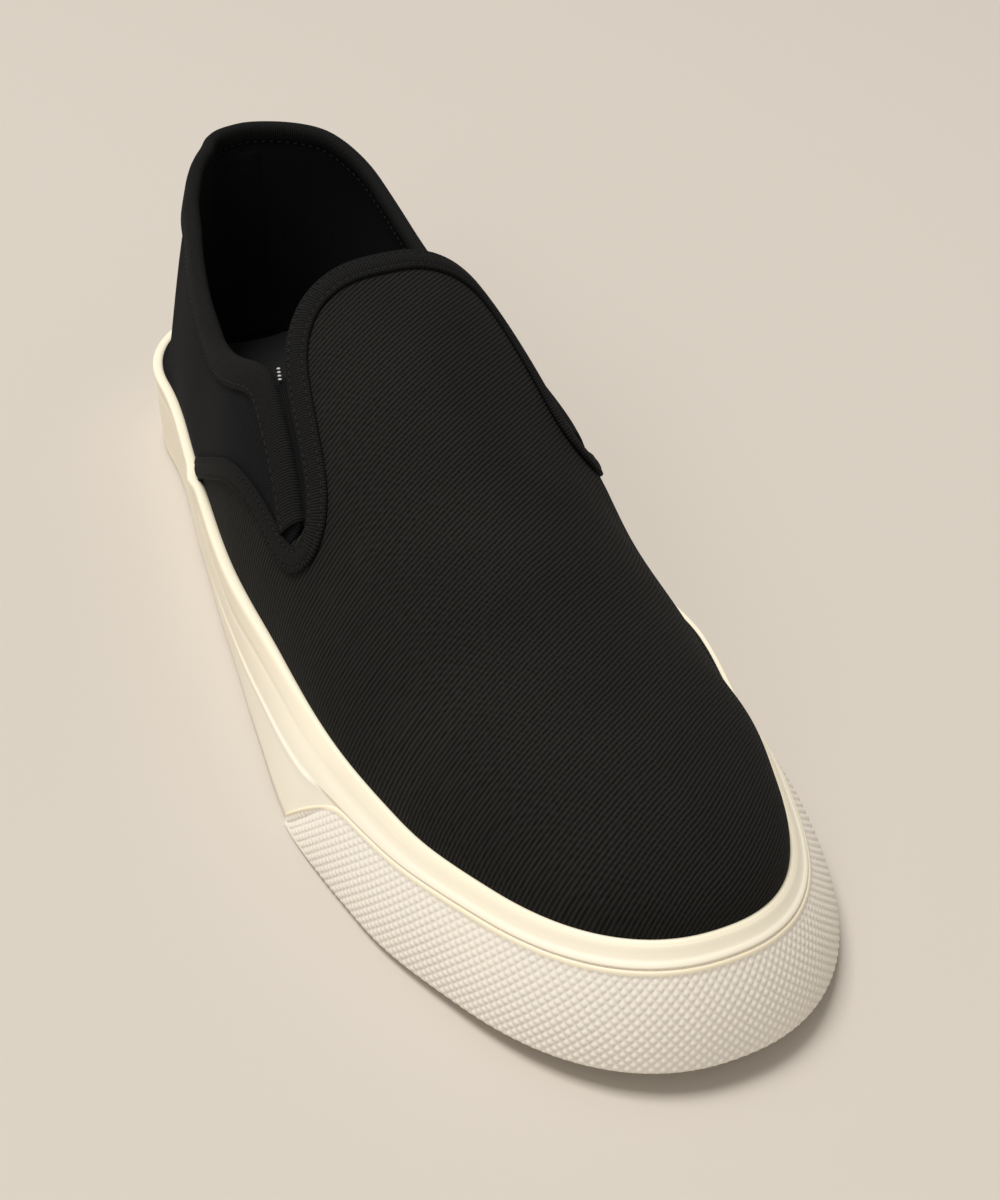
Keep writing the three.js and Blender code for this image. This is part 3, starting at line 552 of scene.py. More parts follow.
# the first rows of each half lie under the rubber, the rest up to the collar
HIDDEN_ROWS, HIDDEN_SHARE = 7, 0.25
quarter_rows, quarter_uv = [], []
for side in (-1, 1):
    top = quarter_top(side)
    seam = smooth_line(SEAM[side][:SEAM_ROWS] + [(top[-1, 0], top[-1, 1] + 0.03)], 1.0)
    end = top[-1, 0] - 0.001
    columns = np.linspace(0, column_of(end), 130)
    s = share_of(columns)
    upper_edge = np.interp(s, top[:, 0], top[:, 1])
    lower_edge = np.where(s < seam[0, 0], 2.0, np.interp(s, seam[:, 0], seam[:, 1]))
    lower_edge = np.maximum(lower_edge, upper_edge + 0.004)
    t = np.concatenate([np.linspace(0, HIDDEN_SHARE, HIDDEN_ROWS + 1)[:-1],
                        np.linspace(HIDDEN_SHARE, 1, 44)])[:, None]
    middle = np.minimum(lower_edge, 1.0)
    across = np.where(t < HIDDEN_SHARE, mix(lower_edge[None], middle[None], t / HIDDEN_SHARE),
                      mix(middle[None], upper_edge[None], (t - HIDDEN_SHARE) / (1 - HIDDEN_SHARE)))
    share = np.broadcast_to(s, across.shape)
    grid = on_cloth(share, side * across)
    sides = np.full_like(columns, float(side))
    run = run_along(inset(columns, sides, lean_at(columns, sides)))
    rise = np.linalg.norm(np.diff(grid, axis=0), axis=-1)
    climb = np.concatenate([np.zeros((1, len(s))), np.cumsum(rise, axis=0)], 0)
    up_cloth = climb - climb[HIDDEN_ROWS] + (1 - middle) * GIRTH
    uv = np.stack([np.broadcast_to(side * run, across.shape), up_cloth], -1)
    order = slice(None, None, -1) if side < 0 else slice(1, None)
    quarter_rows.append(grid[:, order])
    quarter_uv.append(uv[:, order])
quarters = grid_piece("quarters", np.concatenate(quarter_rows, 1), np.concatenate(quarter_uv, 1),
                      [quarter_twill, lining])
finish_with(quarters, "SOLIDIFY", thickness=CLOTH * MM, offset=-1, material_offset=1, material_offset_rim=0)
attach(quarters, "root")
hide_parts("upper")

# Vamp: one piece of the same twill from the instep over the toes, backed with lining and pulled over the
# last, so its weave stays in line along the foot and closes up a little where it turns down to the
# rubber. Its ribs slant from the outer toe towards the inner instep.
vamp_twill = twill_material("Cotton twill, vamp", "#060606", "#292825", TWILL_PITCH, TWILL_ANGLE,
                            0.18, 0.12)

# how far the weave swings along the foot for each millimetre of drop: at share 0 and share 1 on either
# side, and once more over the toe
SWING = {-1: (-0.9, -0.9), 1: (1.9, 0.5)}
TOE_SWING = 0.33
UNDER_RUBBER = 14
# how much of a rib's own length counts in the weave, against its plan
UNROLLED = 0.3
VAMP_COLUMNS = 110
VAMP_ROWS = 64
vamp_sheets, vamp_uv = [], []
for side in (-1, 1):
    edge = np.vstack([smooth_line(SEAM[side][:SEAM_ROWS], 1.0),
                      smooth_line([SEAM[side][SEAM_ROWS - 1]] + VAMP_EDGE[side] + [(EDGE_INSTEP, 0.0)],
                                  1.0)[1:]])
    order = np.argsort(edge[:, 1])
    t = np.linspace(0, 1, VAMP_ROWS)
    level = np.concatenate([np.linspace(-1, 0, 8)[:-1], np.sin(t * np.pi / 2) ** 1.15])
    across = 1 - level
    first = column_of(np.interp(across, edge[order, 1], edge[order, 0]))
    u = np.linspace(0, 1, VAMP_COLUMNS)
    columns = first[:, None] + (np.pi - first[:, None]) * u[None]
    levels = np.broadcast_to(level[:, None], columns.shape)
    sides = np.full(columns.shape, float(side))
    grid = lifted(columns, sides, levels, give(share_of(columns), side * (1 - levels)))
    # each rib is unrolled from the crown line outwards
    s = share_of(columns)
    crown = crown_at(s)
    base = inset(columns, sides, lean_at(columns, sides))
    way = unit(base - crown)
    fine = np.linspace(0, 1, 60)
    ribs = skin(columns[..., None], side, fine[None, None])
    steps = np.linalg.norm(np.diff(ribs, axis=2), axis=-1)
    total = np.cumsum(steps[..., ::-1], axis=2)[..., ::-1]
    total = np.concatenate([total, np.zeros(columns.shape + (1,))], 2)
    place = np.clip(levels, 0, 1) * (len(fine) - 1)
    low = np.minimum(place.astype(int), len(fine) - 2)
    reach = mix(np.take_along_axis(total, low[..., None], 2)[..., 0],
                np.take_along_axis(total, low[..., None] + 1, 2)[..., 0], place - low)
    reach += np.where(levels < 0, -levels * UNDER_RUBBER, 0)
    flat = np.linalg.norm(grid[..., :2] - crown, axis=-1)
    # pulling it over the last swings the weave a little on either side
    drop = np.maximum(ribs[..., -1, 2] - grid[..., 2], 0)
    flat = mix(flat, reach, UNROLLED) + mix(*SWING[side], s) * drop * way[..., 1] ** 2
    uv = crown + way * flat[..., None]
    uv[..., 0] += TOE_SWING * drop * smoothstep(s, 0.78, 0.95)
    rows = slice(None) if side < 0 else slice(-2, None, -1)
    vamp_sheets.append(grid[rows])
    vamp_uv.append(uv[rows])
vamp = grid_piece("vamp", np.concatenate(vamp_sheets), np.concatenate(vamp_uv), [vamp_twill, lining],
                  flip=True)
finish_with(vamp, "SOLIDIFY", thickness=CLOTH * MM, offset=-1, material_offset=1, material_offset_rim=1)
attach(vamp, "root")
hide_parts("upper")

# Gores: black elastic webbing with ribs down it, sewn behind the quarter's front and the vamp's edge. The
# top edge is turned over in a narrow hem, just below the collar.
GORE_DEPTH = 1.0
GORE_THICK = 0.9
HEM_RISE = 0.35
GORE_WIDE, GORE_TALL = 9, 34
elastic, tree, shader = new_material("Woven elastic webbing")
cords = bands(tree, cloth_uv(tree), "X", 0.9, 0.4)
cloth_surface(tree, shader, ramp(tree, cords, "#050505", "#181818"), cords, 0.2, 0.85, 0.12)
GORE_TOP = {-1: ((0.452, 0.500), (0.466, 0.395)), 1: ((0.404, 0.632), (0.425, 0.478))}
for side, name in ((-1, "gore_lateral"), (1, "gore_medial")):
    back_top, front_top = GORE_TOP[side]
    quarter = smooth_line([back_top] + [p for p in QUARTER_EDGE[side] if p[0] > back_top[0] + 0.01], 1.0)
    front = [p for p in VAMP_EDGE[side] if p[0] > front_top[0] + 0.005][::-1]
    vamp_side = smooth_line([front_top] + front, 1.0)
    t = np.linspace(0, 0.98, 30)
    left, right = (at_runs(t, np.linspace(0, 1, len(edge)), edge) for edge in (quarter, vamp_side))
    # the webbing runs on a little way under both edges
    w = np.linspace(-0.25, 1.12, 16)[None, :, None]
    places = left[:, None] + (right - left)[:, None] * w
    depth = np.full(places.shape[:2], -GORE_DEPTH)
    depth[:2] += HEM_RISE
    grid = on_cloth(places[..., 0], side * places[..., 1], depth)
    uv = np.stack([np.broadcast_to(w[..., 0] * GORE_WIDE, places.shape[:2]),
                   np.broadcast_to((t * GORE_TALL)[:, None], places.shape[:2])], -1)
    gore = grid_piece(name + "_webbing", grid, uv, [elastic], flip=side > 0)
    finish_with(gore, "SOLIDIFY", thickness=GORE_THICK * MM, offset=-1)
    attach(gore, "root")
    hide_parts(name)

# Collar binding: grosgrain tape folded over the cut edge of the collar, carried round the corner of each
# quarter and down its front, and sewn through with one row of lockstitch near its outer edge.
grosgrain, tree, shader = new_material("Cotton grosgrain tape")
uv = cloth_uv(tree)
ribs = bands(tree, uv, "X", 0.68, 0.9, 2.0)
both = weighted(tree, noise(tree, uv, 1.5, 3.0), 0.9, ribs)
tone = blend(tree, spread(tree, both, From_Min=0.25, From_Max=1.6), "#040404", "#201f1e")
cloth_surface(tree, shader, tone, both, 0.16, 0.88, 0.12)


def soften(rows):
    rows[1:-1] = (rows[:-2] + 2 * rows[1:-1] + rows[2:]) / 4


def ribbon(name, places, section, material, spacing=1.1):
    # a tape along places on the upper; its section is given across the tape and out of the face
    rough = on_cloth(places[:, 0], places[:, 1])
    facings = out_of_upper(places[:, 0], places[:, 1])
    run = run_along(rough)
    even = np.linspace(0, run[-1], int(run[-1] / spacing))
    middles, out = (at_runs(even, run, v) for v in (rough, facings))
    for _ in range(4):
        soften(middles)
        soften(out)
    ahead = np.gradient(middles, axis=0)
    for _ in range(3):
        soften(ahead)
    ahead = unit(ahead)
    across = unit(np.cross(out, ahead))
    section = np.asarray(section, float)
    grid = (middles[:, None] + across[:, None] * section[None, :, :1] + out[:, None] * section[None, :, 1:])
    run = run_along(middles)
    round_it = run_along(np.vstack([section, section[:1]]))
    uv = np.stack(np.broadcast_arrays(run[:, None], round_it[None]), -1)
    return grid_piece(name, grid, uv, [material], closed=True, caps=True), middles, ahead, across, out


# the share at which the tape ends under the vamp's edge, on either side
COLLAR_END = {-1: 0.552, 1: 0.522}
collar_places = []
for side in (-1, 1):
    edge = quarter_top(side)
    edge = edge[: int(np.argmax(edge[:, 0] > COLLAR_END[side])) + 1]
    signed = edge * (1, side)
    collar_places.append(signed[::-1] if side < 0 else signed[1:])
collar_path = np.vstack(collar_places)
# down from the edge, out of the face: round the outside, over the edge and back up the inside
COLLAR_SECTION = [
    (6.2, 0.15), (6.2, 0.65), (5.9, 0.95), (5.0, 0.75), (4.2, 1.05), (2.6, 1.25), (1.0, 1.2), (-0.3, 0.9),
    (-1.1, 0.2), (-1.35, -0.8), (-1.1, -1.9), (-0.3, -2.6), (1.0, -2.95), (2.6, -2.9), (3.8, -2.6),
    (3.9, -2.0), (2.4, -1.75), (0.8, -1.7), (0.0, -1.2), (-0.2, -0.5), (0.3, 0.0), (2.5, 0.1)]
collar_tape, middles, ahead, across, out = ribbon("collar_tape", collar_path, COLLAR_SECTION, grosgrain)
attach(collar_tape, "root")
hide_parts("collar_binding")

# black bonded thread, a little glossier and greyer than the tape it lies in
thread = plain_material("Polyester sewing thread", "#161616", 0.7, 0.2)[0]


def stitch_row(name, centres, ahead, across, out, pitch, length, thick, material, tilt=0.0):
    # a row of lockstitches, each a small bead of thread sunk at both ends
    run = run_along(centres)
    at = np.arange(pitch / 2, run[-1], pitch)
    frames = [at_runs(at, run, v) for v in (centres, ahead, across, out)]
    bead = bmesh.new()
    bmesh.ops.create_uvsphere(bead, u_segments=6, v_segments=5, radius=0.5)
    ball = np.array([v.co[:] for v in bead.verts])
    faces = [[v.index for v in face.verts] for face in bead.faces]
    bead.free()
    # the ball's pole axis lies along the stitch
    long, wide, high = ball[:, 2] * length, ball[:, 0] * thick, ball[:, 1] * thick
    long, wide = (long * math.cos(tilt) - wide * math.sin(tilt),
                  long * math.sin(tilt) + wide * math.cos(tilt))
    points, all_faces = [], []
    for place, forward, sideways, outward in zip(*frames):
        start = len(points) * len(ball)
        points.append(place + np.outer(long, forward) + np.outer(wide, sideways) + np.outer(high, outward))
        all_faces += [[start + i for i in face] for face in faces]
    mesh = bpy.data.meshes.new(name)
    mesh.from_pydata((np.vstack(points) * MM).tolist(), [], all_faces)
    mesh.shade_smooth()
    mesh.materials.append(material)
    shape = bmesh.new()
    shape.from_mesh(mesh)
    bmesh.ops.recalc_face_normals(shape, faces=shape.faces)
    shape.to_mesh(mesh)
    shape.free()
    row = add_object(name, mesh)
    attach(row, "root")


# one seam: the needle thread shows outside, the bobbin thread inside
COLLAR_STITCH = 2.3
stitch_row("collar_stitches", middles + across * 5.0 + out * 0.82, ahead, across, out,
           COLLAR_STITCH, 1.9, 0.5, thread)
stitch_row("collar_stitches_inside", middles + across * 3.6 - out * 2.95, ahead, across, out,
           COLLAR_STITCH, 1.5, 0.45, thread)

# Bar tack: a few close stitches of white cotton thread beside the vamp. They are sewn through gore and
# lining by machine and hold the top of the outer gore.
white_thread = plain_material("White cotton thread", "#c9c7c2", 0.7)[0]
tack = np.stack([np.linspace(0.4525, 0.4645, 12), np.linspace(-0.427, -0.443, 12)], -1)
tack_line = on_cloth(tack[:, 0], tack[:, 1])
tack_out = out_of_upper(tack[:, 0], tack[:, 1])
tack_ahead = unit(np.gradient(tack_line, axis=0))
tack_across = np.cross(tack_out, tack_ahead)
stitch_row("bar_tack", tack_line, tack_across, tack_ahead, tack_out, 0.95, 1.2, 0.5, white_thread,
           tilt=0.4)

# Heel stay: a strip of the lining's cotton drill down the inside of the heel. It covers the seam that
# joins the quarters and is sewn down flat over it.
stay_places = np.stack([np.full(50, 1e-6), np.linspace(0.64, 1.75, 50)], -1)
STAY_SECTION = [(-7, -2.1), (-6.8, -1.9), (0, -1.5), (6.8, -1.9), (7, -2.1), (6.6, -2.6), (3, -2.3),
                (0, -2.2), (-3, -2.3), (-6.6, -2.6)]
heel_stay = ribbon("heel_stay", stay_places, STAY_SECTION, lining)[0]
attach(heel_stay, "root")

# Vamp binding: one length of the same tape, laid flat over the vamp's edge and the side seams from rubber
# to rubber, and sewn down with a row of short stitches along each edge, which sink into it.
seam_rows = [(s, -u) for s, u in SEAM[-1]] + [(TAPE_INSTEP, 0.0)] + [(s, u) for s, u in SEAM[1][::-1]]
# each end runs on a little way under the rubber's rim
vamp_path = np.vstack([[(0.302, -0.992)], smooth_line(seam_rows, 1.0), [(0.298, 0.996)]])
# across the tape, out of the face; the stitches lie in the two grooves
STITCH_GROOVE = 1.85
VAMP_SECTION = [
    (2.8, 0.0), (2.9, 0.5), (2.7, 1.0), (2.3, 1.15), (STITCH_GROOVE, 0.85), (1.4, 1.25), (0.7, 1.4),
    (0.0, 1.42), (-0.7, 1.4), (-1.4, 1.25), (-STITCH_GROOVE, 0.85), (-2.3, 1.15), (-2.7, 1.0),
    (-2.9, 0.5), (-2.8, 0.0), (0.0, -0.1)]
vamp_tape, middles, ahead, across, out = ribbon("vamp_tape", vamp_path, VAMP_SECTION[::-1], grosgrain)
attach(vamp_tape, "root")
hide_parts("vamp_binding")
for label, w in (("outer", STITCH_GROOVE), ("inner", -STITCH_GROOVE)):
    stitch_row(f"vamp_stitches_{label}", middles + across * w + out * 0.95, ahead, across, out,
               1.9, 1.5, 0.55, thread)

# Insole: a footbed of foam under a glued cover of black woven cloth. It is moulded, a little thicker at its
# edges and hollow under the heel, and lies on the sole.
insole_cloth, tree, shader = new_material("Woven footbed cover")
BED_THICK = 3.6
BED_EDGE, BED_CUP = 0.6, 0.9
BED_IN = 5.2
uv = cloth_uv(tree)
weave = node(tree, "ShaderNodeTexChecker", links={"Vector": uv}, Scale=0.9)
both = weighted(tree, weave.outputs["Fac"], 0.25, noise(tree, uv, 1.4, 3.0))
cloth_surface(tree, shader, ramp(tree, both, "#0b0b0b", "#222120"), both, 0.2, 0.9, strength=0.8)
columns = np.linspace(0.16, np.pi - 0.16, 120)
s = share_of(columns)
bed = sole_top(s) + SOLE_GAP
edges = []
for side in (-1, 1):
    sides = np.full_like(columns, float(side))
    edges.append(inset(columns, sides, lean_at(columns, sides) + BED_IN))
w = np.linspace(-1, 1, 26)
plan = (edges[0][:, None] + (edges[1] - edges[0])[:, None] * (w[None, :, None] + 1) / 2)
heel_cup = np.exp(-((s - 0.12) / 0.1) ** 2)[:, None] * (1 - w**2)[None]
top = bed[:, None] + BED_THICK + BED_EDGE * (np.abs(w) ** 4)[None] - BED_CUP * heel_cup
upper_face = np.concatenate([plan, top[..., None]], -1)
lower_face = np.concatenate([plan, np.broadcast_to(bed[:, None], top.shape)[..., None]], -1)
grid = np.concatenate([upper_face, lower_face[:, ::-1]], 1)
uv = grid[..., :2].copy()
footbed = grid_piece("footbed", grid, uv, [insole_cloth], closed=True, caps=True)
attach(footbed, "root")
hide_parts("insole")

# Outsole: vulcanised rubber, its grooves and arch as the solids have them, with a fine tread moulded
# between the grooves.
rubber_sole, tree, shader = plain_material("Vulcanised sole rubber", "#ddd2b6", 0.62)
place = node(tree, "ShaderNodeTexCoord")
lugs = node(tree, "ShaderNodeTexVoronoi", links={"Vector": place.outputs["Object"]}, Scale=230.0)
emboss(tree, shader, lugs.outputs["Distance"], 0.6, 0.4)
for held in bpy.data.objects["outsole"].material_slots:
    held.material = rubber_sole

# Foxing: a strip of cream rubber wrapped round the sole and the upper's foot and cured in place. It has a
# rolled rim, a soft groove under it and, from the arch forward, a second strip whose top edge shows as a
# fine yellower bead.
FOXING_LIP = 2.6
SIDE_CURVE = 1.3
# share, top of the front strip, groove under the rim, as shares of the rubber's height
LINES = [
    (0.00, 0.10, 0.86), (0.25, 0.12, 0.78), (0.36, 0.20, 0.66), (0.45, 0.33, 0.65), (0.52, 0.43, 0.74),
    (0.60, 0.54, 0.80), (0.68, 0.64, 0.84), (0.76, 0.72, 0.87), (0.84, 0.79, 0.90), (1.00, 0.83, 0.93)]


def rubber_inset(column, side, height, later=0.0):
    # how far in the rubber's face lies, from its foot at height 0 to its rim at 1
    seat = seat_depth(column, side, later)
    return mix(seat, lean_at(column, side) - FOXING_LIP, np.clip(height, 0, 1) ** SIDE_CURVE)


def rubber_material(name, pale, warm):
    # vulcanised natural rubber, off-white: soft satin, faintly mottled, warmer at its rim and bead, with
    # painted shade darkening its moulded grooves and, faintly, low down
    material, tree, shader = new_material(name)
    place = node(tree, "ShaderNodeTexCoord").outputs["Object"]
    tint = node(tree, "ShaderNodeAttribute", {"attribute_name": "tint_and_shade"})
    cloud = noise(tree, place, 45.0, 4.0)
    vary = weighted(tree, cloud, 0.35, tint.outputs["Fac"])
    # the mottle is centred on the attribute's value
    less = node(tree, "ShaderNodeMath", {"operation": "SUBTRACT"}, {0: vary}, second=0.17)
    # below nought the attribute paints shade, darkening the colour in moulded grooves and low down
    painted_shade = spread(tree, less.outputs[0], From_Min=-0.6, From_Max=0.0, To_Min=0.72, To_Max=1.0)
    shade = node(tree, "ShaderNodeVectorMath", {"operation": "SCALE"},
                 {0: blend(tree, less.outputs[0], pale, warm), "Scale": painted_shade})
    tree.links.new(shade.outputs["Vector"], shader.inputs["Base Color"])
    emboss(tree, shader, noise(tree, place, 1400.0, 2.0), 0.25, 0.05)
    tree.links.new(spread(tree, cloud, To_Min=0.42, To_Max=0.58), shader.inputs["Roughness"])
    shader.inputs["Subsurface Weight"].default_value = 0.08
    shader.inputs["Subsurface Radius"].default_value = (0.004, 0.003, 0.002)
    return material


side_rubber = rubber_material("Vulcanised side rubber", "#faf1df", "#fff2d0")


def set_rubber_tones(piece, values):
    # one value for each vertex, in the order of the grid that the piece was made from
    # values above nought tint the rubber warmer; below nought they paint shade
    attribute = piece.data.attributes.new("tint_and_shade", "FLOAT", "POINT")
    attribute.data.foreach_set("value", values)


def under_bumper(share, start):
    # 1 where the toe strip covers the rubber, 0 behind its ends
    return smoothstep(share, start + 0.02, start + 0.05)


def round_columns(count):
    step = np.pi / count
    outer = [(i * step, -1.0) for i in range(count)]
    inner = [(i * step, 1.0) for i in range(count, 0, -1)]
    return np.array(outer + inner)


TAPE_ENDS = {-1: 0.300, 1: 0.297}
# the part of the solids' step that shows
STEP_SHOWN = 0.5
SEAT_LATER = 0.06
NOTCH = 0.9
RIM_BACK = 1.5
FOXING_FOOT = 0.5
STRIP_EDGE = 0.45
FOOT_WARM, STRIP_WARM, RIM_WARM = 0.05, 0.25, 0.55
ring = round_columns(200)
c, hand = ring[:, 0], ring[:, 1]
s = share_of(c)
strip, groove = follow(LINES, 1, s), follow(LINES, 2, s)
floor, top_z = spring_at(s), foxing_top(s)
lean = lean_at(c, hand)
step_here = STEP_SHOWN * step_at(s)
# 0 behind the arch, 1 in front of it
front = smoothstep(s, 0.45, 0.7)
start = bumper_start(hand)
bumper_here = under_bumper(s, start)
sink = mix(0.17, 0.05, front)
# the tape's end under the rim lifts it in a low bump, with a notch in its edge
bump_here = np.zeros_like(s)
for side in (-1, 1):
    bump_here += np.where(hand == side, np.exp(-((s - TAPE_ENDS[side]) * LENGTH / 3.5) ** 2), 0)
profile, tint_and_shade = [], []


def add_row(at, z, warm):
    profile.append(np.concatenate([at, z[:, None]], -1))
    tint_and_shade.append(np.broadcast_to(warm, s.shape))


def ring_row(height, deeper, warm):
    # a row round the shoe at a share of the rubber's height, set in by so much
    slope = RIM_BACK * front * np.clip((height - strip) / (1 - strip), 0, 1) ** 1.2
    at = inset(c, hand, rubber_inset(c, hand, height, SEAT_LATER) + deeper + slope
               - NOTCH * bump_here * smoothstep(height, 0.55, 0.95))
    add_row(at, mix(floor, top_z, height), warm)


# the rounded foot, then the strip up to its bead
bottom = floor + FOXING_FOOT
for inward, up in ((0.9, 0.0), (0.45, 0.12), (0.12, 0.4)):
    at = inset(c, hand, rubber_inset(c, hand, 0, SEAT_LATER) - step_here + inward)
    add_row(at, bottom + up, FOOT_WARM)
for t in np.linspace(0.03, 1, 9)[:-1]:
    ring_row(mix(0.02, strip - 0.04, t), -step_here, FOOT_WARM)
bead_warm = smoothstep(s, 0.44, 0.52)
for dh, lift, warm in ((-0.030, -0.02, 0.1), (-0.016, 0.06, 0.4), (-0.006, 0.07, 0.6), (0.006, -0.1, 0.4)):
    ring_row(strip + dh, -step_here * (1 - bumper_here) - lift * bead_warm * (1 - bumper_here),
             FOOT_WARM + warm * bead_warm)
# the side above it, swelling a little up to the groove under the rim
for dh in (0.018, 0.03):
    ring_row(strip + dh, -STRIP_EDGE * bumper_here, STRIP_WARM)
for t in np.linspace(0, 1, 7)[1:-1]:
    ring_row(mix(strip + 0.03, groove - 0.04, t),
             -0.1 * math.sin(t * math.pi) - STRIP_EDGE * (1 - t) * bumper_here, STRIP_WARM)
for dh, deeper in ((-0.04, 0.0), (-0.022, 0.5), (-0.007, 1.0), (0.007, 1.0), (0.022, 0.5), (0.04, -0.3)):
    ring_row(groove + dh, deeper * sink, 0.35)
for t in (0.25, 0.5, 0.75):
    ring_row(mix(groove + 0.04, 0.985, t), -0.1 * (1 - front), 0.5)
# the rolled rim, in over the cloth and down behind it
rim = lean - FOXING_LIP + RIM_BACK * front
RIM_SECTION = [(-0.1, -0.35), (0.3, -0.02), (0.9, 0.1), (1.7, 0.1), (2.4, -0.05), (2.75, -0.5), (2.8, -2.0)]
for inward, up in RIM_SECTION:
    at = inset(c, hand, rim + inward * mix(1, 0.5, front) - NOTCH * bump_here)
    add_row(at, top_z + up - 0.8 * bump_here, RIM_WARM)
inner_foot = inset(c, hand, seat_depth(c, hand) + FOXING_WRAP)
for z in (sole_top(s), bottom):
    add_row(inner_foot, z, FOOT_WARM)
# closed round the shoe, and closed through its section
grid = np.stack(profile + profile[:1], 0)
run = run_along(outline(c, hand))
uv = np.stack(np.broadcast_arrays(run[None], np.linspace(0, 40, len(grid))[:, None]), -1)
foxing = grid_piece("foxing_wrap", grid, uv, [side_rubber], closed=True)
set_rubber_tones(foxing, np.stack(tint_and_shade, 0).ravel())
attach(foxing, "root")
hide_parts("foxing")

# Toe bumper: a thicker strip moulded with small raised diamonds, wrapped round the toe outside the foxing.
# Its ends are rounded off and its top edge is a smooth bead.
KNURL_PITCH = 2.22
KNURL_TALL = 2.48
KNURL_DEPTH = 0.38
BUMPER_SLANT = 0.075
BUMPER_GRID = 0.32
BUMPER_OUT = 0.3
TOE_FOOT = 1.3
TOP_IN = 3.2
EDGE_BAND = 1.2
BEAD_BAND = 0.95
along = []
for side in (-1, 1):
    start = column_of(BUMPER_START[side])
    along.append(np.stack([np.linspace(start, np.pi, 400), np.full(400, float(side))], -1))
path = np.vstack([along[0], along[1][::-1][1:]])
run = run_along(outline(path[:, 0], path[:, 1]))
even = np.linspace(0, run[-1], int(run[-1] / BUMPER_GRID))
unrolled = np.where(path[:, 1] < 0, path[:, 0], 2 * np.pi - path[:, 0])
turned = np.interp(even, run, unrolled)
c = np.where(turned <= np.pi, turned, 2 * np.pi - turned)
hand = np.where(turned <= np.pi, -1.0, 1.0)
s = share_of(c)
start = bumper_start(hand)
rise = np.clip((s - start) / BUMPER_SLANT, 0, 1)
strip_top = (follow(LINES, 1, s) + 0.006) * mix(0.12, 1, 1 - (1 - rise) ** 1.7)
# the strip hangs a little below the foxing at the toe
floor, top_z = spring_at(s) * 0.8, foxing_top(s)
tall = (top_z - floor) * 1.12
t = np.linspace(0.02, 1, 70)
height = t[:, None] * strip_top[None]
up = height * tall[None]
a = even[None] / KNURL_PITCH + up / KNURL_TALL
b = even[None] / KNURL_PITCH - up / KNURL_TALL
ridge = np.minimum(np.abs((a % 1) - 0.5), np.abs((b % 1) - 0.5)) * 2
# the diamonds keep off the foot, the bead along the top edge and both ends
edge = np.minimum(up - EDGE_BAND, (strip_top * tall)[None] - up - BEAD_BAND)
ends = np.minimum(even, run[-1] - even)[None] - 0.9
inside = smoothstep(np.minimum(edge, ends), 0, 0.6)
knurl = mix(0.7, np.clip(ridge * 1.4, 0.06, 0.92), inside)
bead = np.exp(-(((strip_top * tall)[None] - up - 0.5) / 0.45) ** 2)
# it stands out fully at its foot and comes down to the foxing's face at its top
medial_toe = np.where(hand > 0, smoothstep(s, 0.70, 0.88) * mix(1, 0.6, smoothstep(s, 0.88, 1.0)),
                      0.6 * smoothstep(s, 0.75, 1.0))
outward = (BUMPER + BUMPER_OUT + TOE_FOOT * medial_toe[None] * (1 - t[:, None] ** 2)
           - (TOP_IN * t ** 2.0)[:, None]
           - 1.0 * (1 - smoothstep(t, 0.02, 0.08))[:, None])
relief = KNURL_DEPTH * (knurl - 0.4) + 0.2 * bead
columns, hands = np.broadcast_to(c, height.shape), np.broadcast_to(hand, height.shape)
seat = rubber_inset(columns, hands, height) - step_at(s)[None] - BUMPER_SEAT
close_ends = smoothstep(np.minimum(even, run[-1] - even), 0, 1.6)[None]
# near its ends it lies on the foxing, which isn't sunk there yet
bumper_here = under_bumper(s, start)
step_here = STEP_SHOWN * step_at(s) * (1 - bumper_here)
under = rubber_inset(columns, hands, height, SEAT_LATER) - step_here[None]
face_at = np.minimum(seat - outward * mix(0.3, 1, close_ends), under - 0.35 * close_ends)
face = inset(columns, hands, face_at - relief * close_ends)
z = mix(floor[None], top_z[None], height)
front = np.concatenate([face, z[..., None]], -1)
back_rows = []
for h_row, deep in ((t[-1] + 0.004, 0.1), (t[-1] + 0.004, 1.2), (t[0] - 0.004, 0.3)):
    h_now = h_row * strip_top
    at = inset(c, hand, rubber_inset(c, hand, h_now) + deep)
    back_rows.append(np.concatenate([at, mix(floor, top_z, h_now)[:, None]], -1))
grid = np.concatenate([front, np.stack(back_rows)], 0).transpose(1, 0, 2)
uv = np.stack(np.broadcast_arrays(even[:, None], np.linspace(0, 25, grid.shape[1])[None]), -1)
# its pale tone, a little darker than the side rubber's, is partly its own and partly painted shade of the
# toe's lower face under light from above
bumper_rubber = rubber_material("Moulded bumper rubber", "#efe7da", "#fff0cc")
bumper = grid_piece("toe_strip", grid, uv, [bumper_rubber], closed=True, caps=True)
# painted shade: the grooves between the diamonds are darkened through low values of the attribute
groove_shade = np.clip(0.45 - ridge, 0, 0.45) * inside
warm = np.concatenate([0.1 + 0.8 * bead - 0.55 * groove_shade, np.full((3, len(c)), 0.3)], 0).T
set_rubber_tones(bumper, warm.ravel())
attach(bumper, "root")
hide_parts("toe_bumper")

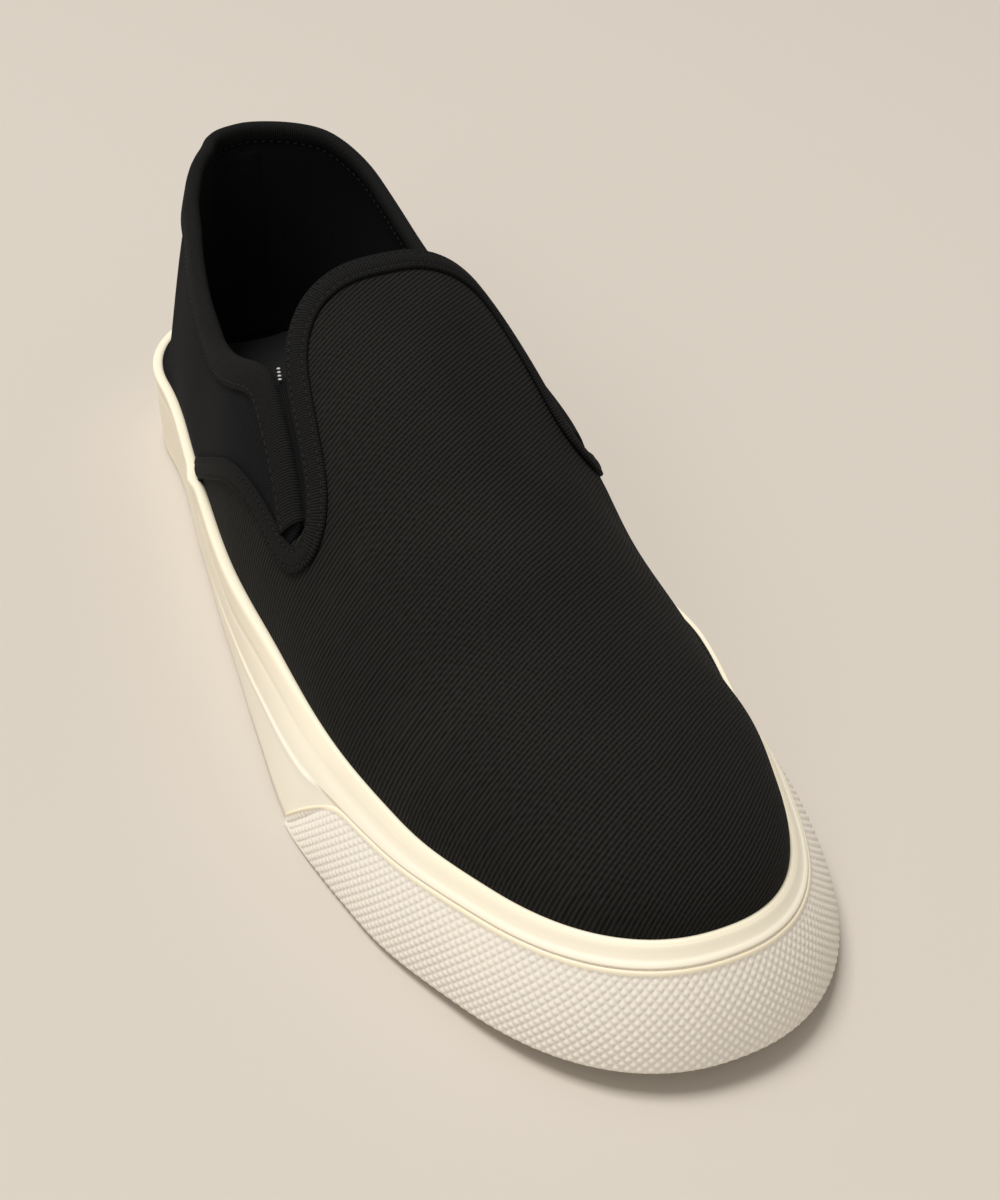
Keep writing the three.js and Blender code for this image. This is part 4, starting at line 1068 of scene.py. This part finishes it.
# Floor, light and camera: a plain warm pale floor, soft light from the upper left, and the photo's own
# viewing angle, closed in on the one shoe.
bpy.ops.mesh.primitive_plane_add(size=6, location=(0, 0, 0))
ground = bpy.context.object
ground.name = "floor"
ground.data.materials.append(plain_material("Matt painted board", "#cac1b5", 0.9)[0])
world = bpy.context.scene.world or bpy.data.worlds.new("World")
bpy.context.scene.world = world
world.use_nodes = True
world.node_tree.nodes["Background"].inputs["Color"].default_value = (1.0, 0.98, 0.95, 1)
world.node_tree.nodes["Background"].inputs["Strength"].default_value = 0.37


def lamp(name, place, aim, size, power):
    light = bpy.data.lights.new(name, "AREA")
    light.size = size
    light.energy = power
    holder = add_object(name, light)
    holder.location = place
    holder.rotation_mode = "QUATERNION"
    holder.rotation_quaternion = (Vector(aim) - Vector(place)).to_track_quat("-Z", "Y")


lamp("key", (-0.45, -0.6, 3.3), (0, 0, 0), 1.4, 92)
lamp("fill", (1.9, -1.9, 1.9), (0, 0, 0.03), 1.4, 16)

AZIMUTH, ELEVATION, ROLL = (math.radians(v) for v in (61.7215, 35.5943, 2.7162))
CAMERA_PLACE = Vector((0.32553, -0.12726, 0.28014))
PHOTO_FOCUS = 974.93
SHOE_IN_PHOTO = (447, 628)
CLOSER = 1.8
back = Vector((math.sin(AZIMUTH) * math.cos(ELEVATION), -math.cos(AZIMUTH) * math.cos(ELEVATION),
               math.sin(ELEVATION)))
level_right = Vector((math.cos(AZIMUTH), math.sin(AZIMUTH), 0))
level_up = back.cross(level_right)
right = level_right * math.cos(ROLL) + level_up * math.sin(ROLL)
up = level_up * math.cos(ROLL) - level_right * math.sin(ROLL)
aim = -back + right * (SHOE_IN_PHOTO[0] - 500) / PHOTO_FOCUS - up * (SHOE_IN_PHOTO[1] - 600) / PHOTO_FOCUS
back = -aim.normalized()
right = (right - back * right.dot(back)).normalized()
up = back.cross(right)
camera = bpy.data.cameras.new("camera")
camera.lens = PHOTO_FOCUS * CLOSER * 36 / 1200
camera.clip_start, camera.clip_end = 0.01, 20
viewer = add_object("camera", camera)
viewer.matrix_world = Matrix((
    (right.x, up.x, back.x, CAMERA_PLACE.x), (right.y, up.y, back.y, CAMERA_PLACE.y),
    (right.z, up.z, back.z, CAMERA_PLACE.z), (0, 0, 0, 1)))
bpy.context.scene.camera = viewer
bpy.context.scene.view_settings.view_transform = "Standard"
